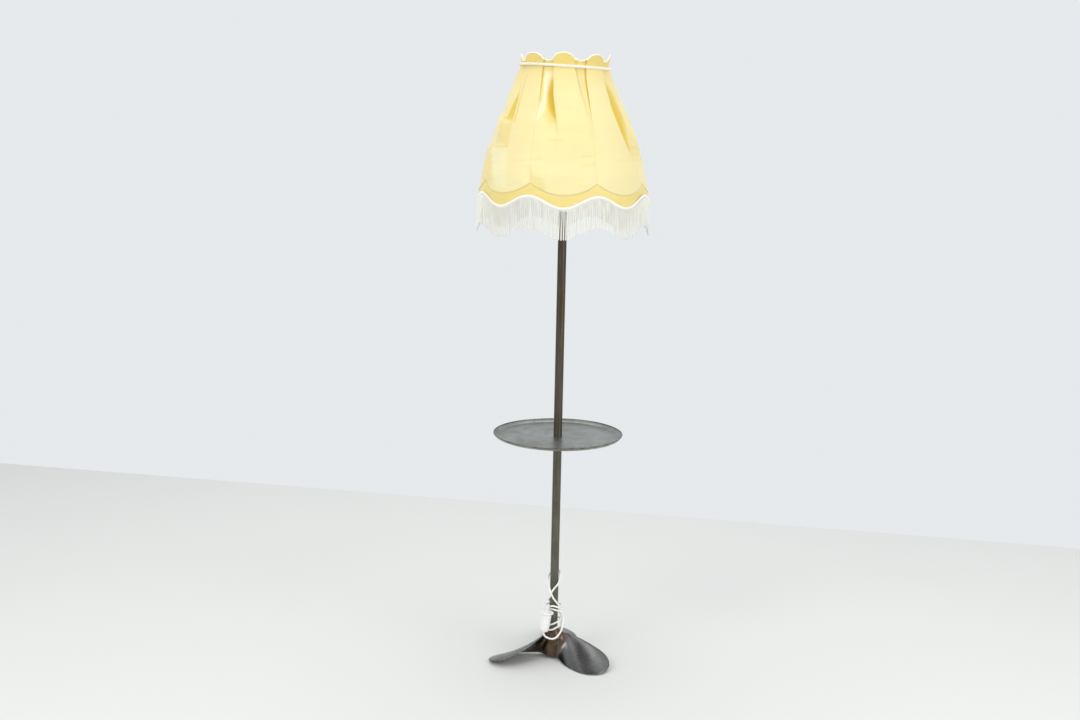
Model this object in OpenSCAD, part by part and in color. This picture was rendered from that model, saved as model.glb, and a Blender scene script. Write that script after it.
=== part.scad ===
// Floor lamp with a round tray table.
// A boat propeller is the foot, a steel tube the pole, and a
// pleated, scalloped cloth shade with a looped fringe hangs on a wire frame.
// Millimetres, +Z up, origin on the floor under the axis of the pole.

/* [Pole] */
// Height of the top of the pole above the floor
pole_top = 1330; // [1200:5:1500]
// Outer diameter of the pole
pole_d = 24; // [22:0.5:30]
// Wall of the pole
pole_wall = 2; // [1.5:0.25:2.5]

/* [Propeller foot] */
// Number of blades
blades = 3; // [3:1:4]
// Radius of the blade tips
blade_r = 192; // [170:1:220]
// Direction in which the first blade points
blade_turn = -38.5; // [-60:0.5:0]
// Chord of a blade where it leaves the hub
root_chord = 70; // [55:1:75]
// Widest chord of a blade
widest_chord = 108; // [90:1:120]
// Rise of a blade's face for one radian of turn, at the root
root_advance = 68; // [55:1:75]
// The same rise at the tip
tip_advance = 45; // [35:1:50]
// Fall of a blade from the root to the tip
blade_droop = 34; // [32:0.5:36]
// Thickness of a blade at the root
root_thick = 11; // [8:0.5:13]
// Thickness of a blade's edges
edge_thick = 2.4; // [2:0.1:3.5]
// Height of the hub's lower face above the floor
hub_lift = 10; // [8:0.5:12]
// Radius of the hub at its lower face
hub_r = 34; // [32:0.5:38]
// Radius of the hub's top
hub_top_r = 15.5; // [15:0.25:18]
// Length of the hub
hub_h = 76; // [74:1:84]

/* [Foot fastening] */
// Depth of the recess under the hub
recess_depth = 14; // [12:0.5:16]
// Depth of the pole's seat in the hub
seat_depth = 46; // [36:1:50]
// Diameter of the stud in the pole's lower end
stud_d = 12; // [8:1:14]
// Diameter of the grub screws
grub_d = 6; // [5:0.5:8]
// Direction of the hub's grub screw, between two blades
grub_turn = 160; // [150:1:190]

/* [Tray] */
// Height of the tray's surface above the floor
tray_z = 653; // [500:1:800]
// Radius of the tray
tray_r = 181.5; // [150:0.5:220]
// Thickness of the tray's sheet
tray_thick = 2; // [1.5:0.25:3]
// Height of the tray's curved lip above its surface
rim_h = 10; // [7:0.5:14]
// Width of the tray's curved lip
rim_w = 17; // [13:0.5:26]
// Diameter of the bead along the lip
rim_bead = 3; // [2.5:0.25:5]
// Radius of the collar's flange under the tray
flange_r = 40; // [34:1:60]
// Height of the collar under its flange
collar_h = 22; // [18:1:40]

/* [Lampholder] */
// Diameter of the hollow rod that carries the lampholder
nipple_d = 10; // [8:0.5:11]
// Radius of the lampholder's shell
shell_r = 19.5; // [19:0.25:22]
// Radius of the shoulder on which the shade sits
shoulder_r = 24; // [23:0.5:26]
// Height of the lampholder's cap
cap_h = 26; // [24:1:32]
// Height of the shoulder above the cap
shoulder_rise = 20; // [16:1:26]
// Height of the threaded skirt above the shoulder
skirt_h = 16; // [14:1:22]
// Diameter of the bulb's glass
bulb_d = 60; // [50:1:70]
// Length of the bulb with its cap
bulb_len = 106; // [98:1:125]

/* [Shade] */
// Direction that the middle of the first panel faces
panel_turn = -90; // [-100:0.5:-80]
// Height of the neck, tied with a rope, above the ring by which the lampholder carries it
neck_rise = 281; // [267:1:317]
// Radius of the cloth at the neck
neck_r = 113.5; // [105:0.5:125]
// Height of the crown's scallops above the neck
crown_h = 36; // [26:0.5:40]
// Depth of the crown's scallops
crown_scallop = 17; // [10:0.5:20]
// Height from the lowest point of the outer hem to the neck
shade_drop = 327; // [300:1:350]
// Radius of the cloth at its outer hem
hem_r = 230.5; // [200:0.5:250]
// Depth of the outer hem's scallops
hem_scallop = 29; // [18:0.5:36]
// Depth of the pleats between the panels
pleat_depth = 13; // [6:0.5:18]
// Thickness of the cloth
cloth = 1; // [0.8:0.1:1.5]
// Drop of the under layer below the outer hem
under_drop = 36.5; // [28:0.5:50]
// Depth of the under layer's waves
under_wave = 30; // [18:0.5:36]
// Diameter of the rope round the neck
rope_d = 7; // [4:0.25:8]
// Height of the braid
braid_h = 6.5; // [4:0.25:10]
// Thickness of the braid
braid_t = 2; // [1.5:0.1:3]
// Length of the fringe below the braid
fringe_len = 75; // [50:1:110]
// Number of strands of the fringe
strands = 160; // [120:8:200]
// Diameter of the wire of the frame's rings
wire_d = 3.5; // [2.75:0.25:4]
// Diameter of the wire of its ribs and spokes
rib_d = 2.8; // [2:0.1:3.2]

/* [Cord] */
// Diameter of the cord
cord_d = 5.4; // [4.5:0.1:5.8]
// Height of the hole where the cord leaves the pole, above the hub
exit_rise = 13; // [11:0.5:16]
// Diameter of that hole
exit_d = 9; // [8:0.25:10]

/* [Hidden] */
$fn = 64;
// Clearances
fit = 0.05;             // radial, for what is pressed or screwed together
run = 0.25;             // radial, for what turns
seat_gap = 0.3;         // between soft pieces and what carries them
weld_gap = 0.1;         // between wires that are welded to each other
layer_gap = 1;          // between the layers of cloth, and from cloth to wire

// Levels of the foot
hub_top = hub_lift + hub_h;
exit_z = hub_top + exit_rise;
seat_z = hub_top - seat_depth;
recess_z = hub_lift + recess_depth;
recess_r = 17;
washer_h = 2.5;
nut_h = 9.5;
grub_len = 8;
grub_z = hub_top - 16;
// Levels of the lampholder
bush_flange = 4;
cap_z = pole_top + bush_flange;
shoulder_z = cap_z + cap_h + shoulder_rise;
shoulder_h = 3;
fitter_h = 2;
fitter_z = shoulder_z + shoulder_h;
skirt_top = fitter_z + skirt_h;
ring_h = 9;
insert_z = cap_z + 12;
insert_h = 24;
bulb_z = insert_z + insert_h + 2;
// Levels of the shade
neck_z = fitter_z + neck_rise;
hem_z = neck_z - shade_drop;
braid_z = hem_z - under_drop;
// Scalloped panels of the cloth, one node each
panels = 8;
sector = 360 / panels;

// ---------- shared shapes ----------

function mix(a, b, s) = a + (b - a) * s;
function unit(v) = v / norm(v);
function polar(r, a, z) = [r * cos(a), r * sin(a), z];
function tangents(path) =
    let (last = len(path) - 1)
    [for (i = [0:last]) unit(path[min(i + 1, last)] - path[max(i - 1, 0)])];
function square_to(v, t) = unit(v - t * (v * t));
// Sides that turn as little as they can along a path
function normals(t, first) =
    [for (i = 0, n = square_to(first, t[0]); i < len(t);
        i = i + 1, n = square_to(n, t[min(i, len(t) - 1)])) n];

// A tube of radius r along a path; a closed one joins its last ring to its first
module sweep(path, r, sides, first = [0, 0, 1], closed = false) {
    rings = len(path);
    t = closed
        ? [for (i = [0:rings - 1]) unit(path[(i + 1) % rings] - path[(i + rings - 1) % rings])]
        : tangents(path);
    n = normals(t, first);
    points = [for (i = [0:rings - 1], j = [0:sides - 1])
        path[i] + r * (cos(360 * j / sides) * n[i] + sin(360 * j / sides) * cross(t[i], n[i]))];
    spans = closed ? rings : rings - 1;
    skin = [for (i = [0:spans - 1], j = [0:sides - 1])
        let (a = i * sides + j, b = i * sides + (j + 1) % sides,
            c = (i + 1) % rings * sides + j, d = (i + 1) % rings * sides + (j + 1) % sides)
        each [[a, b, d], [a, d, c]]];
    top = (rings - 1) * sides;
    caps = closed ? [] : [for (j = [1:sides - 2]) each [[0, j + 1, j], [top, top + j, top + j + 1]]];
    polyhedron(points = points, faces = concat([for (f = skin) [f[0], f[2], f[1]]],
        [for (f = caps) [f[0], f[2], f[1]]]), convexity = 10);
}

// A sheet between two grids of points with the same rows and columns; the front faces
// the side from which the rows run down and the columns to the right
module sheet(front, back, closed = false) {
    rows = len(front);
    cols = len(front[0]);
    n = rows * cols;
    spans = closed ? cols : cols - 1;
    points = concat([for (row = front, p = row) p], [for (row = back, p = row) p]);
    skin = [for (i = [0:rows - 2], j = [0:spans - 1])
        let (a = i * cols + j, b = i * cols + (j + 1) % cols, c = a + cols, d = b + cols)
        each [[a, b, d], [a, d, c], [n + a, n + d, n + b], [n + a, n + c, n + d]]];
    ends = [for (j = [0:spans - 1])
        let (k = (j + 1) % cols, base = (rows - 1) * cols)
        each [[j, n + k, k], [j, n + j, n + k],
            [base + j, base + k, n + base + k], [base + j, n + base + k, n + base + j]]];
    sides = closed ? [] : [for (i = [0:rows - 2])
        let (a = i * cols, b = a + cols, c = a + cols - 1, d = b + cols - 1)
        each [[a, b, n + b], [a, n + b, n + a], [c, n + d, d], [c, n + c, n + d]]];
    polyhedron(points = points, faces = concat(skin, ends, sides), convexity = 10);
}

// A ring or a turned piece from its half section, points as [radius, height]
module turned(section) {
    rotate_extrude() polygon(section);
}

// A plain round bar along +Z
module bar(d, h, z = 0) {
    translate([0, 0, z]) cylinder(d = d, h = h);
}

// A pin or hole that points outwards from the axis, from radius r1 to r2
module radial(d, r1, r2, turn, z) {
    rotate([0, 0, turn]) translate([r1, 0, z]) rotate([0, 90, 0]) cylinder(d = d, h = r2 - r1);
}

// ---------- foot ----------

// Share of the blade's length at which it is widest
widest_at = 0.7;
// Radius at which a blade's own outline starts, inside the hub
blade_start = 28;
// Radius down to which a blade is sunk in the hub's wall
blade_sunk = 18.5;
tip_chord = 9;
blade_mid_z = 41.2;
blade_rows = 13;
blade_cols = 9;
function chord(s) =
    s < widest_at
        ? root_chord + (widest_chord - root_chord) * sin(90 * s / widest_at)
        : mix(tip_chord, widest_chord,
            sqrt(max(0, 1 - pow((s - widest_at) / (1 - widest_at), 2))));
// A point of a blade's face: s runs from root to tip, u from the low edge, -1, to the high, 1
function blade_face(s, u) =
    let (r = mix(blade_start, blade_r, s),
        slope = atan2(mix(root_advance, tip_advance, s), r),
        half = chord(s) / 2,
        turn = u * half * cos(slope) / r * 180 / PI)
    polar(r, turn, blade_mid_z - blade_droop * s + u * half * sin(slope));
function blade_thick(s, u) =
    edge_thick + (mix(root_thick, edge_thick + 1, s) - edge_thick) * pow(1 - u * u, 0.75);
function blade_normal(s, u) =
    let (d = 0.01)
    unit(cross(blade_face(s + d, u) - blade_face(s - d, u),
        blade_face(s, u + d) - blade_face(s, u - d)));
sunk_share = (blade_sunk - blade_start) / (blade_r - blade_start);
function blade_s(i) = mix(sunk_share, 1, sin(90 * i / blade_rows));
function blade_u(j) = -cos(180 * j / blade_cols);

module blade() {
    face = [for (i = [0:blade_rows]) [for (j = [0:blade_cols])
        blade_face(blade_s(i), blade_u(j))]];
    back = [for (i = [0:blade_rows]) [for (j = [0:blade_cols])
        let (s = blade_s(i), u = blade_u(j))
        blade_face(s, u) + blade_thick(s, u) * blade_normal(min(s, 0.98), u * 0.98)]];
    sheet(back, face);
}

hub_section = [
    [0, hub_lift], [hub_r - 1, hub_lift], [hub_r, hub_lift + 4],
    [hub_r * 0.95, hub_lift + hub_h * 0.32], [hub_r * 0.84, hub_lift + hub_h * 0.6],
    [hub_r * 0.72, hub_lift + hub_h * 0.77], [hub_r * 0.58, hub_lift + hub_h * 0.9],
    [hub_top_r, hub_top], [0, hub_top]];

// Hub and blades are one casting; the blades' lowest edges are ground flat
module propeller() {
    floor_size = 2 * blade_r + 100;
    color("dimgray")
    difference() {
        union() {
            turned(hub_section);
            for (k = [0:blades - 1]) rotate([0, 0, blade_turn + k * 360 / blades]) blade();
        }
        bar(pole_d + 2 * fit, seat_depth + 1, seat_z);
        bar(stud_d + 2 * run, hub_h, hub_lift - 1);
        bar(2 * recess_r, recess_depth + 1, hub_lift - 1);
        radial(grub_d + 2 * fit, 0, hub_r, grub_turn, grub_z);
        translate([-floor_size / 2, -floor_size / 2, -20]) cube([floor_size, floor_size, 20]);
    }
}

module hub_washer() {
    color("silver")
    difference() {
        bar(2 * recess_r - 4, washer_h, recess_z - washer_h);
        bar(stud_d + 2 * run, washer_h + 2, recess_z - washer_h - 1);
    }
}

module hub_nut() {
    nut_z = recess_z - washer_h - nut_h;
    color("silver")
    difference() {
        translate([0, 0, nut_z]) cylinder(d = stud_d * 1.82, h = nut_h, $fn = 6);
        bar(stud_d + 2 * fit, nut_h + 2, nut_z - 1);
    }
}

module hub_grub_screw() {
    tip = pole_d / 2;
    color("gray")
    difference() {
        radial(grub_d, tip, tip + grub_len, grub_turn, grub_z);
        rotate([0, 0, grub_turn]) translate([tip + grub_len - 3, 0, grub_z]) rotate([0, 90, 0])
            cylinder(d = grub_d / 2, h = 4, $fn = 6);
    }
}

// Plug in the pole's lower end with the stud that pulls the pole into the hub
module pole_foot() {
    color("silver")
    union() {
        bar(pole_d - 2 * pole_wall - 2 * fit, 25, seat_z);
        bar(stud_d, seat_z - hub_lift - 1.5, hub_lift + 1.5);
    }
}

// ---------- pole ----------

module pole() {
    color("#4e4636")
    difference() {
        bar(pole_d, pole_top - seat_z, seat_z);
        bar(pole_d - 2 * pole_wall, pole_top - seat_z + 2, seat_z - 1);
        radial(exit_d, 0, pole_d, 90, exit_z);
    }
}

// Rubber ring in the pole's wall; its flanges lie inside and outside the wall
grommet_lip = 1.8;
grommet_out = pole_d / 2 + grommet_lip;
module cord_grommet() {
    color("ivory")
    difference() {
        union() {
            radial(exit_d - 2 * fit, pole_d / 2 - pole_wall - 0.5, grommet_out, 90, exit_z);
            difference() {
                radial(exit_d + 4, pole_d / 2 - 2.5, grommet_out, 90, exit_z);
                bar(pole_d + 2 * fit, exit_d + 8, exit_z - exit_d / 2 - 4);
            }
        }
        radial(cord_d + 2 * fit, 0, pole_d, 90, exit_z);
    }
}

// The lead inside the pole, from the grommet up to the lampholder
lead_top = cap_z + 8;
module inner_lead() {
    grommet_in = pole_d / 2 - pole_wall - 0.5;
    route = [[0, grommet_out, exit_z], [0, grommet_in - 2, exit_z], [0, 4.5, exit_z + 1],
        [0, 2.2, exit_z + 3.5], [0, 1, exit_z + 8], [0, 0, exit_z + 16], [0, 0, lead_top]];
    color("ivory") sweep(route, cord_d / 2 - fit, 8, [1, 0, 0]);
}

// ---------- tray ----------

tray_low = tray_z - tray_thick;
rivet_d = 5;
rivet_r = flange_r * 0.75;
rim_foot_r = tray_r - rim_w;
module rivet_places() {
    for (k = [0:2]) rotate([0, 0, 30 + 120 * k]) translate([rivet_r, 0, 0]) children();
}

// Flat plate of the tray
module tray() {
    color("#7d7f7a")
    difference() {
        turned([[pole_d / 2 + fit, tray_low], [rim_foot_r, tray_low], [rim_foot_r, tray_z],
            [pole_d / 2 + fit, tray_z]]);
        rivet_places() bar(rivet_d + 2 * fit, tray_thick + 2, tray_low - 1);
    }
}

// Lip round the plate: it curves upwards from the plate's edge to a rolled bead
module tray_rim() {
    bead = rim_bead / 2;
    half = tray_thick / 2;
    foot = rim_foot_r + fit;
    run_out = tray_r - bead - foot;
    rise = rim_h - bead + half;
    slope = 2 * atan2(rise, run_out);
    bend = run_out / sin(slope);
    function lip(r, a) = [foot + r * sin(a), tray_z - half + bend - r * cos(a)];
    color("#7d7f7a")
    union() {
        turned(concat([for (i = [0:6]) lip(bend + half, slope * i / 6)],
            [for (i = [6:-1:0]) lip(bend - half, slope * i / 6)]));
        rotate_extrude() translate(lip(bend, slope)) circle(bead);
    }
}

flange_h = 3;
module tray_collar() {
    top = tray_low;
    bore_r = pole_d / 2 + fit;
    color("#5a5a56")
    difference() {
        turned([[bore_r, top], [flange_r, top], [flange_r, top - flange_h],
            [bore_r + 10, top - flange_h], [bore_r + 8, top - flange_h - 3],
            [bore_r + 8, top - flange_h - collar_h + 2], [bore_r + 6, top - flange_h - collar_h],
            [bore_r, top - flange_h - collar_h]]);
        radial(grub_d + 2 * fit, 0, flange_r, 90, top - flange_h - collar_h / 2);
        rivet_places() bar(rivet_d + 2 * fit, flange_h + 2, top - flange_h - 1);
    }
}

module tray_rivets() {
    under = tray_low - flange_h;
    color("silver")
    rivet_places() {
        bar(rivet_d, tray_thick + flange_h, under);
        turned([[0, under - 2.4], [1.8, under - 2.1], [3.4, under - 1.2], [4.2, under], [0, under]]);
    }
}

module collar_screw() {
    tip = pole_d / 2;
    z = tray_low - flange_h - collar_h / 2;
    color("gray")
    difference() {
        radial(grub_d, tip, tip + grub_len, 90, z);
        rotate([0, 0, 90]) translate([tip + grub_len - 3, 0, z]) rotate([0, 90, 0])
            cylinder(d = grub_d / 2, h = 4, $fn = 6);
    }
}

// ---------- lampholder ----------

module top_bush() {
    color("darkgoldenrod")
    difference() {
        union() {
            bar(pole_d - 2 * pole_wall - 2 * fit, 18, pole_top - 18);
            turned([[0, pole_top], [pole_d / 2 + 0.5, pole_top], [pole_d / 2 + 0.5, pole_top + 2.5],
                [pole_d / 2 - 1, pole_top + bush_flange], [0, pole_top + bush_flange]]);
        }
        bar(nipple_d + 2 * fit, 30, pole_top - 20);
    }
}

// Hollow threaded rod from the bush up into the lampholder's cap
nipple_h = 26;
module nipple() {
    color("goldenrod")
    difference() {
        bar(nipple_d, nipple_h, cap_z - nipple_h + 9);
        bar(cord_d + 1, nipple_h + 2, cap_z - nipple_h + 8);
    }
}

module nipple_nut() {
    z = cap_z + 3;
    color("goldenrod")
    difference() {
        translate([0, 0, z]) cylinder(d = nipple_d * 1.6, h = 3, $fn = 6);
        bar(nipple_d + 2 * fit, 5, z - 1);
    }
}

key_d = 4;
key_z = cap_z + 17;
cap_wall = 2;
module holder_cap() {
    top = cap_z + cap_h;
    color("#2b2421")
    difference() {
        union() {
            turned([[0, cap_z], [11, cap_z], [13, cap_z + 1.5], [14, cap_z + 5],
                [shell_r - 1, cap_z + 11], [shell_r, cap_z + 13], [shell_r, top], [0, top]]);
            radial(9, shell_r - 3, shell_r + 3, 0, key_z);
        }
        turned([[0, cap_z + 3], [11, cap_z + 3], [core_r - 2.5, insert_z],
            [shell_r - cap_wall, insert_z], [shell_r - cap_wall, top + 1], [0, top + 1]]);
        bar(nipple_d + 2 * fit, 6, cap_z - 1);
        radial(key_d + 0.1, 8, shell_r + 6, 0, key_z);
    }
}

// Porcelain block that holds the contacts; it stands on the cap's inner ledge
core_r = shell_r - cap_wall - fit - 2;
module holder_insert() {
    notch = key_z + key_d + 1 - insert_z;
    color("white")
    difference() {
        union() {
            bar(2 * core_r, insert_h - 1, insert_z + 1);
            turned([[0, insert_z], [core_r - 1, insert_z], [core_r, insert_z + 1], [0, insert_z + 1]]);
        }
        bar(nipple_d + 4, 6, insert_z - 1);
        translate([core_r - 6, -key_d, insert_z - 1]) cube([8, 2 * key_d, notch + 1]);
        translate([-3.2, -2.2, insert_z + insert_h - 4]) cube([6.4, 4.4, 5]);
        translate([-1.5, -core_r + 3, insert_z - 1]) cube([3, 2.2, insert_h + 2]);
    }
}

// Live spring in the middle and neutral strip at the side
module holder_contacts() {
    top = insert_z + insert_h;
    color("gold") {
        translate([-3, -2, top - 4]) cube([6, 4, 1]);
        translate([-3, -2, top - 3]) cube([1, 4, 4]);
        translate([-3, -2, top + 1]) cube([6, 4, 0.9]);
        translate([-1.4, -core_r + 3.1, insert_z + 2]) cube([2.8, 2, insert_h - 2]);
    }
}

// Brass sleeve that takes the bulb's thread
sleeve_r = 13.9;
sleeve_h = 21;
module screw_shell() {
    z = insert_z + insert_h;
    color("gold")
    difference() {
        union() {
            bar(2 * sleeve_r + 1.2, sleeve_h, z);
            bar(2 * core_r - 1, 1, z);
        }
        bar(2 * sleeve_r, sleeve_h, z + 1);
        bar(12, 3, z - 1);
    }
}

// Outer skirt with the shoulder for the shade and the thread for its ring
skirt_r = shell_r;
thread_h = 0.7;
module holder_shell() {
    base = cap_z + cap_h;
    inner = shell_r - cap_wall;
    ridges = [for (z = [fitter_z + 3:2:skirt_top - 2])
        each [[skirt_r, z], [skirt_r + thread_h, z + 0.5], [skirt_r + thread_h, z + 1],
            [skirt_r, z + 1.5]]];
    color("#2b2421")
    turned(concat([[inner, base], [shell_r, base], [shell_r, shoulder_z - 3],
        [shoulder_r, shoulder_z], [shoulder_r, fitter_z], [skirt_r, fitter_z]],
        ridges, [[skirt_r, skirt_top], [inner, skirt_top]]));
}

module switch_key() {
    tip = shell_r + 3;
    color("#2b2421")
    union() {
        radial(key_d, core_r - 5, tip + 1, 0, key_z);
        radial(8, tip + 0.5, tip + 4, 0, key_z);
        translate([tip + 4, 0, key_z]) rotate([90, 0, 90]) linear_extrude(11)
            offset(r = 1.2) square([12, 2], center = true);
    }
}

// Ring that screws down on the shade's fitter
module shade_ring() {
    base = fitter_z + fitter_h + 0.1;
    bore_r = skirt_r + thread_h + run;
    color("#2b2421")
    difference() {
        turned([[bore_r, base], [ring_r, base], [ring_r, base + ring_h - 2],
            [ring_r - 2, base + ring_h], [bore_r, base + ring_h]]);
        for (k = [0:23]) rotate([0, 0, 15 * k]) translate([ring_r + 0.6, 0, base + 1])
            cylinder(d = 2.6, h = ring_h, $fn = 16);
    }
}

// ---------- bulb ----------

cap_len = 24;
cap_bulb_r = 13.2;
module bulb_cap() {
    ridges = [for (z = [bulb_z + 4:3:bulb_z + 16])
        each [[cap_bulb_r - 0.6, z], [cap_bulb_r, z + 1], [cap_bulb_r, z + 1.6],
            [cap_bulb_r - 0.6, z + 2.6]]];
    color("silver")
    turned(concat([[4, bulb_z + 1.5], [7, bulb_z + 1.5], [12, bulb_z + 3.5]], ridges,
        [[cap_bulb_r - 0.2, bulb_z + 20], [cap_bulb_r - 0.2, bulb_z + cap_len],
            [cap_bulb_r - 1, bulb_z + cap_len], [cap_bulb_r - 1, bulb_z + 5], [4, bulb_z + 5]]));
}

module bulb_contact() {
    color("#333333")
    turned([[0, bulb_z], [3, bulb_z], [3.9, bulb_z + 1], [3.9, bulb_z + 6], [0, bulb_z + 6]]);
}

glass_wall = 1;
// Half outline of the glass: a neck that swells into a ball
function glass_outline(w) =
    let (ball = bulb_d / 2 - w,
        ball_z = bulb_z + bulb_len - bulb_d / 2,
        neck = cap_bulb_r - 1.2 - w,
        low = bulb_z + cap_len - 6,
        join = asin((neck + 5) / (bulb_d / 2)))
    concat([[neck, low], [neck, bulb_z + cap_len + 3],
        [neck + 1.8, bulb_z + cap_len + 11]],
        [for (k = [0:12]) let (a = mix(180 - join - 8, 0, k / 12))
            [max(0, ball * sin(a)), ball_z + ball * cos(a)]]);
module bulb_glass() {
    outside = glass_outline(0);
    inside = glass_outline(glass_wall);
    last = len(inside) - 1;
    color("white")
    turned(concat(outside, [for (i = [last:-1:0]) inside[i]]));
}

// Glass stem with its coiled filament, seen when the bulb is clear
module bulb_filament() {
    stem = bulb_z + 6.1;
    high = bulb_z + bulb_len - bulb_d / 2 + 4;
    route = [[-5, 0, high - 22], [-7, 0, high - 8], [-9, 0, high], [-4.5, 2, high + 2],
        [0, 2.6, high + 1.4], [4.5, 2, high + 2], [9, 0, high], [7, 0, high - 8], [5, 0, high - 22]];
    color("gray")
    union() {
        turned([[0, stem], [3.5, stem], [3.5, high - 30], [5.8, high - 22],
            [5.8, high - 20.5], [0, high - 20.5]]);
        sweep(route, 0.6, 6, [0, 1, 0]);
    }
}

// ---------- shade ----------

// Shares of the drop, and of the growth from the neck to the hem
shade_curve = [[-0.2, 0.0], [0, 0], [0.11, 0.15], [0.27, 0.33], [0.43, 0.555], [0.59, 0.735],
    [0.75, 0.85], [0.91, 0.95], [1, 1], [1.12, 1.03]];
function cloth_r(z) = mix(neck_r, hem_r, lookup((neck_z - z) / shade_drop, shade_curve));
// Depth of a pleat: held at the neck, open below it, gone three quarters of the way down
function pleat(z, u) =
    let (s = (neck_z - z) / shade_drop / 0.75,
        open = s < 0 ? 0.25 : s > 1 ? 0 : mix(0.25, 0, s) + 0.85 * pow(sin(180 * pow(s, 0.8)), 1.2),
        across = max(0, (abs(u) - 0.6) / 0.4))
    pleat_depth * open * across * across * (3 - 2 * across);
function crown_edge(u) = neck_z + crown_h - crown_scallop * (1 - pow(max(0, 1 - u * u), 0.6));
function hem_edge(u) = hem_z + hem_scallop * u * u;
// Wave of the braid for a direction in degrees
function wave(a) = under_wave * pow(sin((a - panel_turn) * panels / 2), 2);

panel_us = [-1, -0.85, -0.68, -0.35, 0, 0.35, 0.68, 0.85, 1];
panel_rows = 12;
crown_rows = 2;
seam_gap = 0.3;
function panel_z(i, u) =
    i < crown_rows ? mix(crown_edge(u), neck_z, i / crown_rows)
        : mix(neck_z, hem_edge(u), (i - crown_rows) / (panel_rows - crown_rows));
function panel_point(i, u, inward) =
    let (z = panel_z(i, u),
        r = cloth_r(z) - pleat(z, u) - inward,
        half = sector / 2 - seam_gap / 2 / r * 180 / PI)
    polar(r, u * half, z);

// One panel of the outer layer with half a pleat along each side
module shade_panel(k) {
    front = [for (i = [0:panel_rows]) [for (u = panel_us) panel_point(i, u, 0)]];
    back = [for (i = [0:panel_rows]) [for (u = panel_us) panel_point(i, u, cloth)]];
    color(k % 2 == 0 ? "#f5e39a" : "#f0da86")
    rotate([0, 0, panel_turn + (k - 1) * sector]) sheet(front, back);
}

// Under layer: a band behind the outer hem that ends at the braid
band_cols = 64;
band_rise = 86;
band_out = cloth + layer_gap;
function band_r(z) = min(cloth_r(z) - band_out, hem_r + 1.5);
module hem_band() {
    rows = 3;
    function band_point(i, j, inward) =
        let (a = panel_turn + 360 * j / band_cols,
            low = braid_z + wave(a),
            z = mix(braid_z + band_rise, low, i / rows))
        polar(band_r(z) - inward, a, z);
    color("#e3c24c")
    sheet([for (i = [0:rows]) [for (j = [0:band_cols - 1]) band_point(i, j, 0)]],
        [for (i = [0:rows]) [for (j = [0:band_cols - 1]) band_point(i, j, cloth)]], closed = true);
}

module neck_rope() {
    color("ivory")
    rotate_extrude() translate([neck_r + rope_d / 2 + seat_gap, neck_z + rope_d / 4])
        circle(rope_d / 2);
}

// Braid sewn over the under layer's lower edge
braid_cols = strands;
braid_in = hem_r + 1.5 + seat_gap;
module braid() {
    function braid_point(i, j, out) =
        let (a = panel_turn + 360 * j / braid_cols)
        polar(braid_in + out, a, braid_z + wave(a) + (i == 0 ? braid_h : 0));
    color("white")
    sheet([for (i = [0, 1]) [for (j = [0:braid_cols - 1]) braid_point(i, j, braid_t)]],
        [for (i = [0, 1]) [for (j = [0:braid_cols - 1]) braid_point(i, j, 0)]],
        closed = true);
}

// Fringe: strands that taper downwards from a heading tape, all one comb
heading_h = 4;
fringe_t = 1.6;
strand_share = 0.45;
module fringe() {
    n = strands;
    low = braid_z - seat_gap;
    function ring_point(j, share, out, z) =
        let (a = panel_turn + 360 * (j + share) / n)
        polar(braid_in + out, a, low + wave(a) + z);
    // Six points of one pitch of the comb, then the two at its strand's end
    points = [for (j = [0:n - 1]) each [
        ring_point(j, 0, 0, 0), ring_point(j, 0, fringe_t, 0),
        ring_point(j, 0, 0, -heading_h), ring_point(j, 0, fringe_t, -heading_h),
        ring_point(j, strand_share, 0, -heading_h), ring_point(j, strand_share, fringe_t, -heading_h),
        ring_point(j, strand_share * 0.15, fringe_t / 2, -fringe_len),
        ring_point(j, strand_share * 0.85, fringe_t / 2, -fringe_len)]];
    faces = [for (j = [0:n - 1])
        let (a = 8 * j, b = 8 * ((j + 1) % n))
        each [
            // top of the tape
            [a, b, b + 1], [a, b + 1, a + 1],
            // outside of the tape
            [a + 1, b + 1, a + 5], [a + 1, a + 5, a + 3], [b + 1, b + 3, a + 5],
            // inside of the tape
            [b, a, a + 4], [a, a + 2, a + 4], [b, a + 4, b + 2],
            // underside between two strands
            [a + 4, a + 5, b + 3], [a + 4, b + 3, b + 2],
            // the strand
            [a + 3, a + 5, a + 7], [a + 3, a + 7, a + 6],
            [a + 4, a + 2, a + 6], [a + 4, a + 6, a + 7],
            [a + 2, a + 3, a + 6], [a + 5, a + 4, a + 7]]];
    color("ivory") polyhedron(points = points, faces = faces, convexity = 10);
}

// Wires of the welded frame, behind the cloth
wire_in = cloth + layer_gap + wire_d / 2;
neck_wire_r = neck_r - pleat(neck_z, 1) - wire_in;
lower_wire_rise = 4;
lower_wire_cols = 64;
function lower_wire_z(a) = braid_z + wave(a) + lower_wire_rise;
module neck_wire() {
    color("#b8b4a4")
    rotate_extrude() translate([neck_wire_r, neck_z]) circle(wire_d / 2);
}

module lower_wire() {
    color("#b8b4a4")
    sweep([for (j = [0:lower_wire_cols - 1])
        let (a = panel_turn + 360 * (j + 0.5) / lower_wire_cols, z = lower_wire_z(a))
        polar(band_r(z) - wire_in, a, z)],
        wire_d / 2, 6, closed = true);
}

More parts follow.
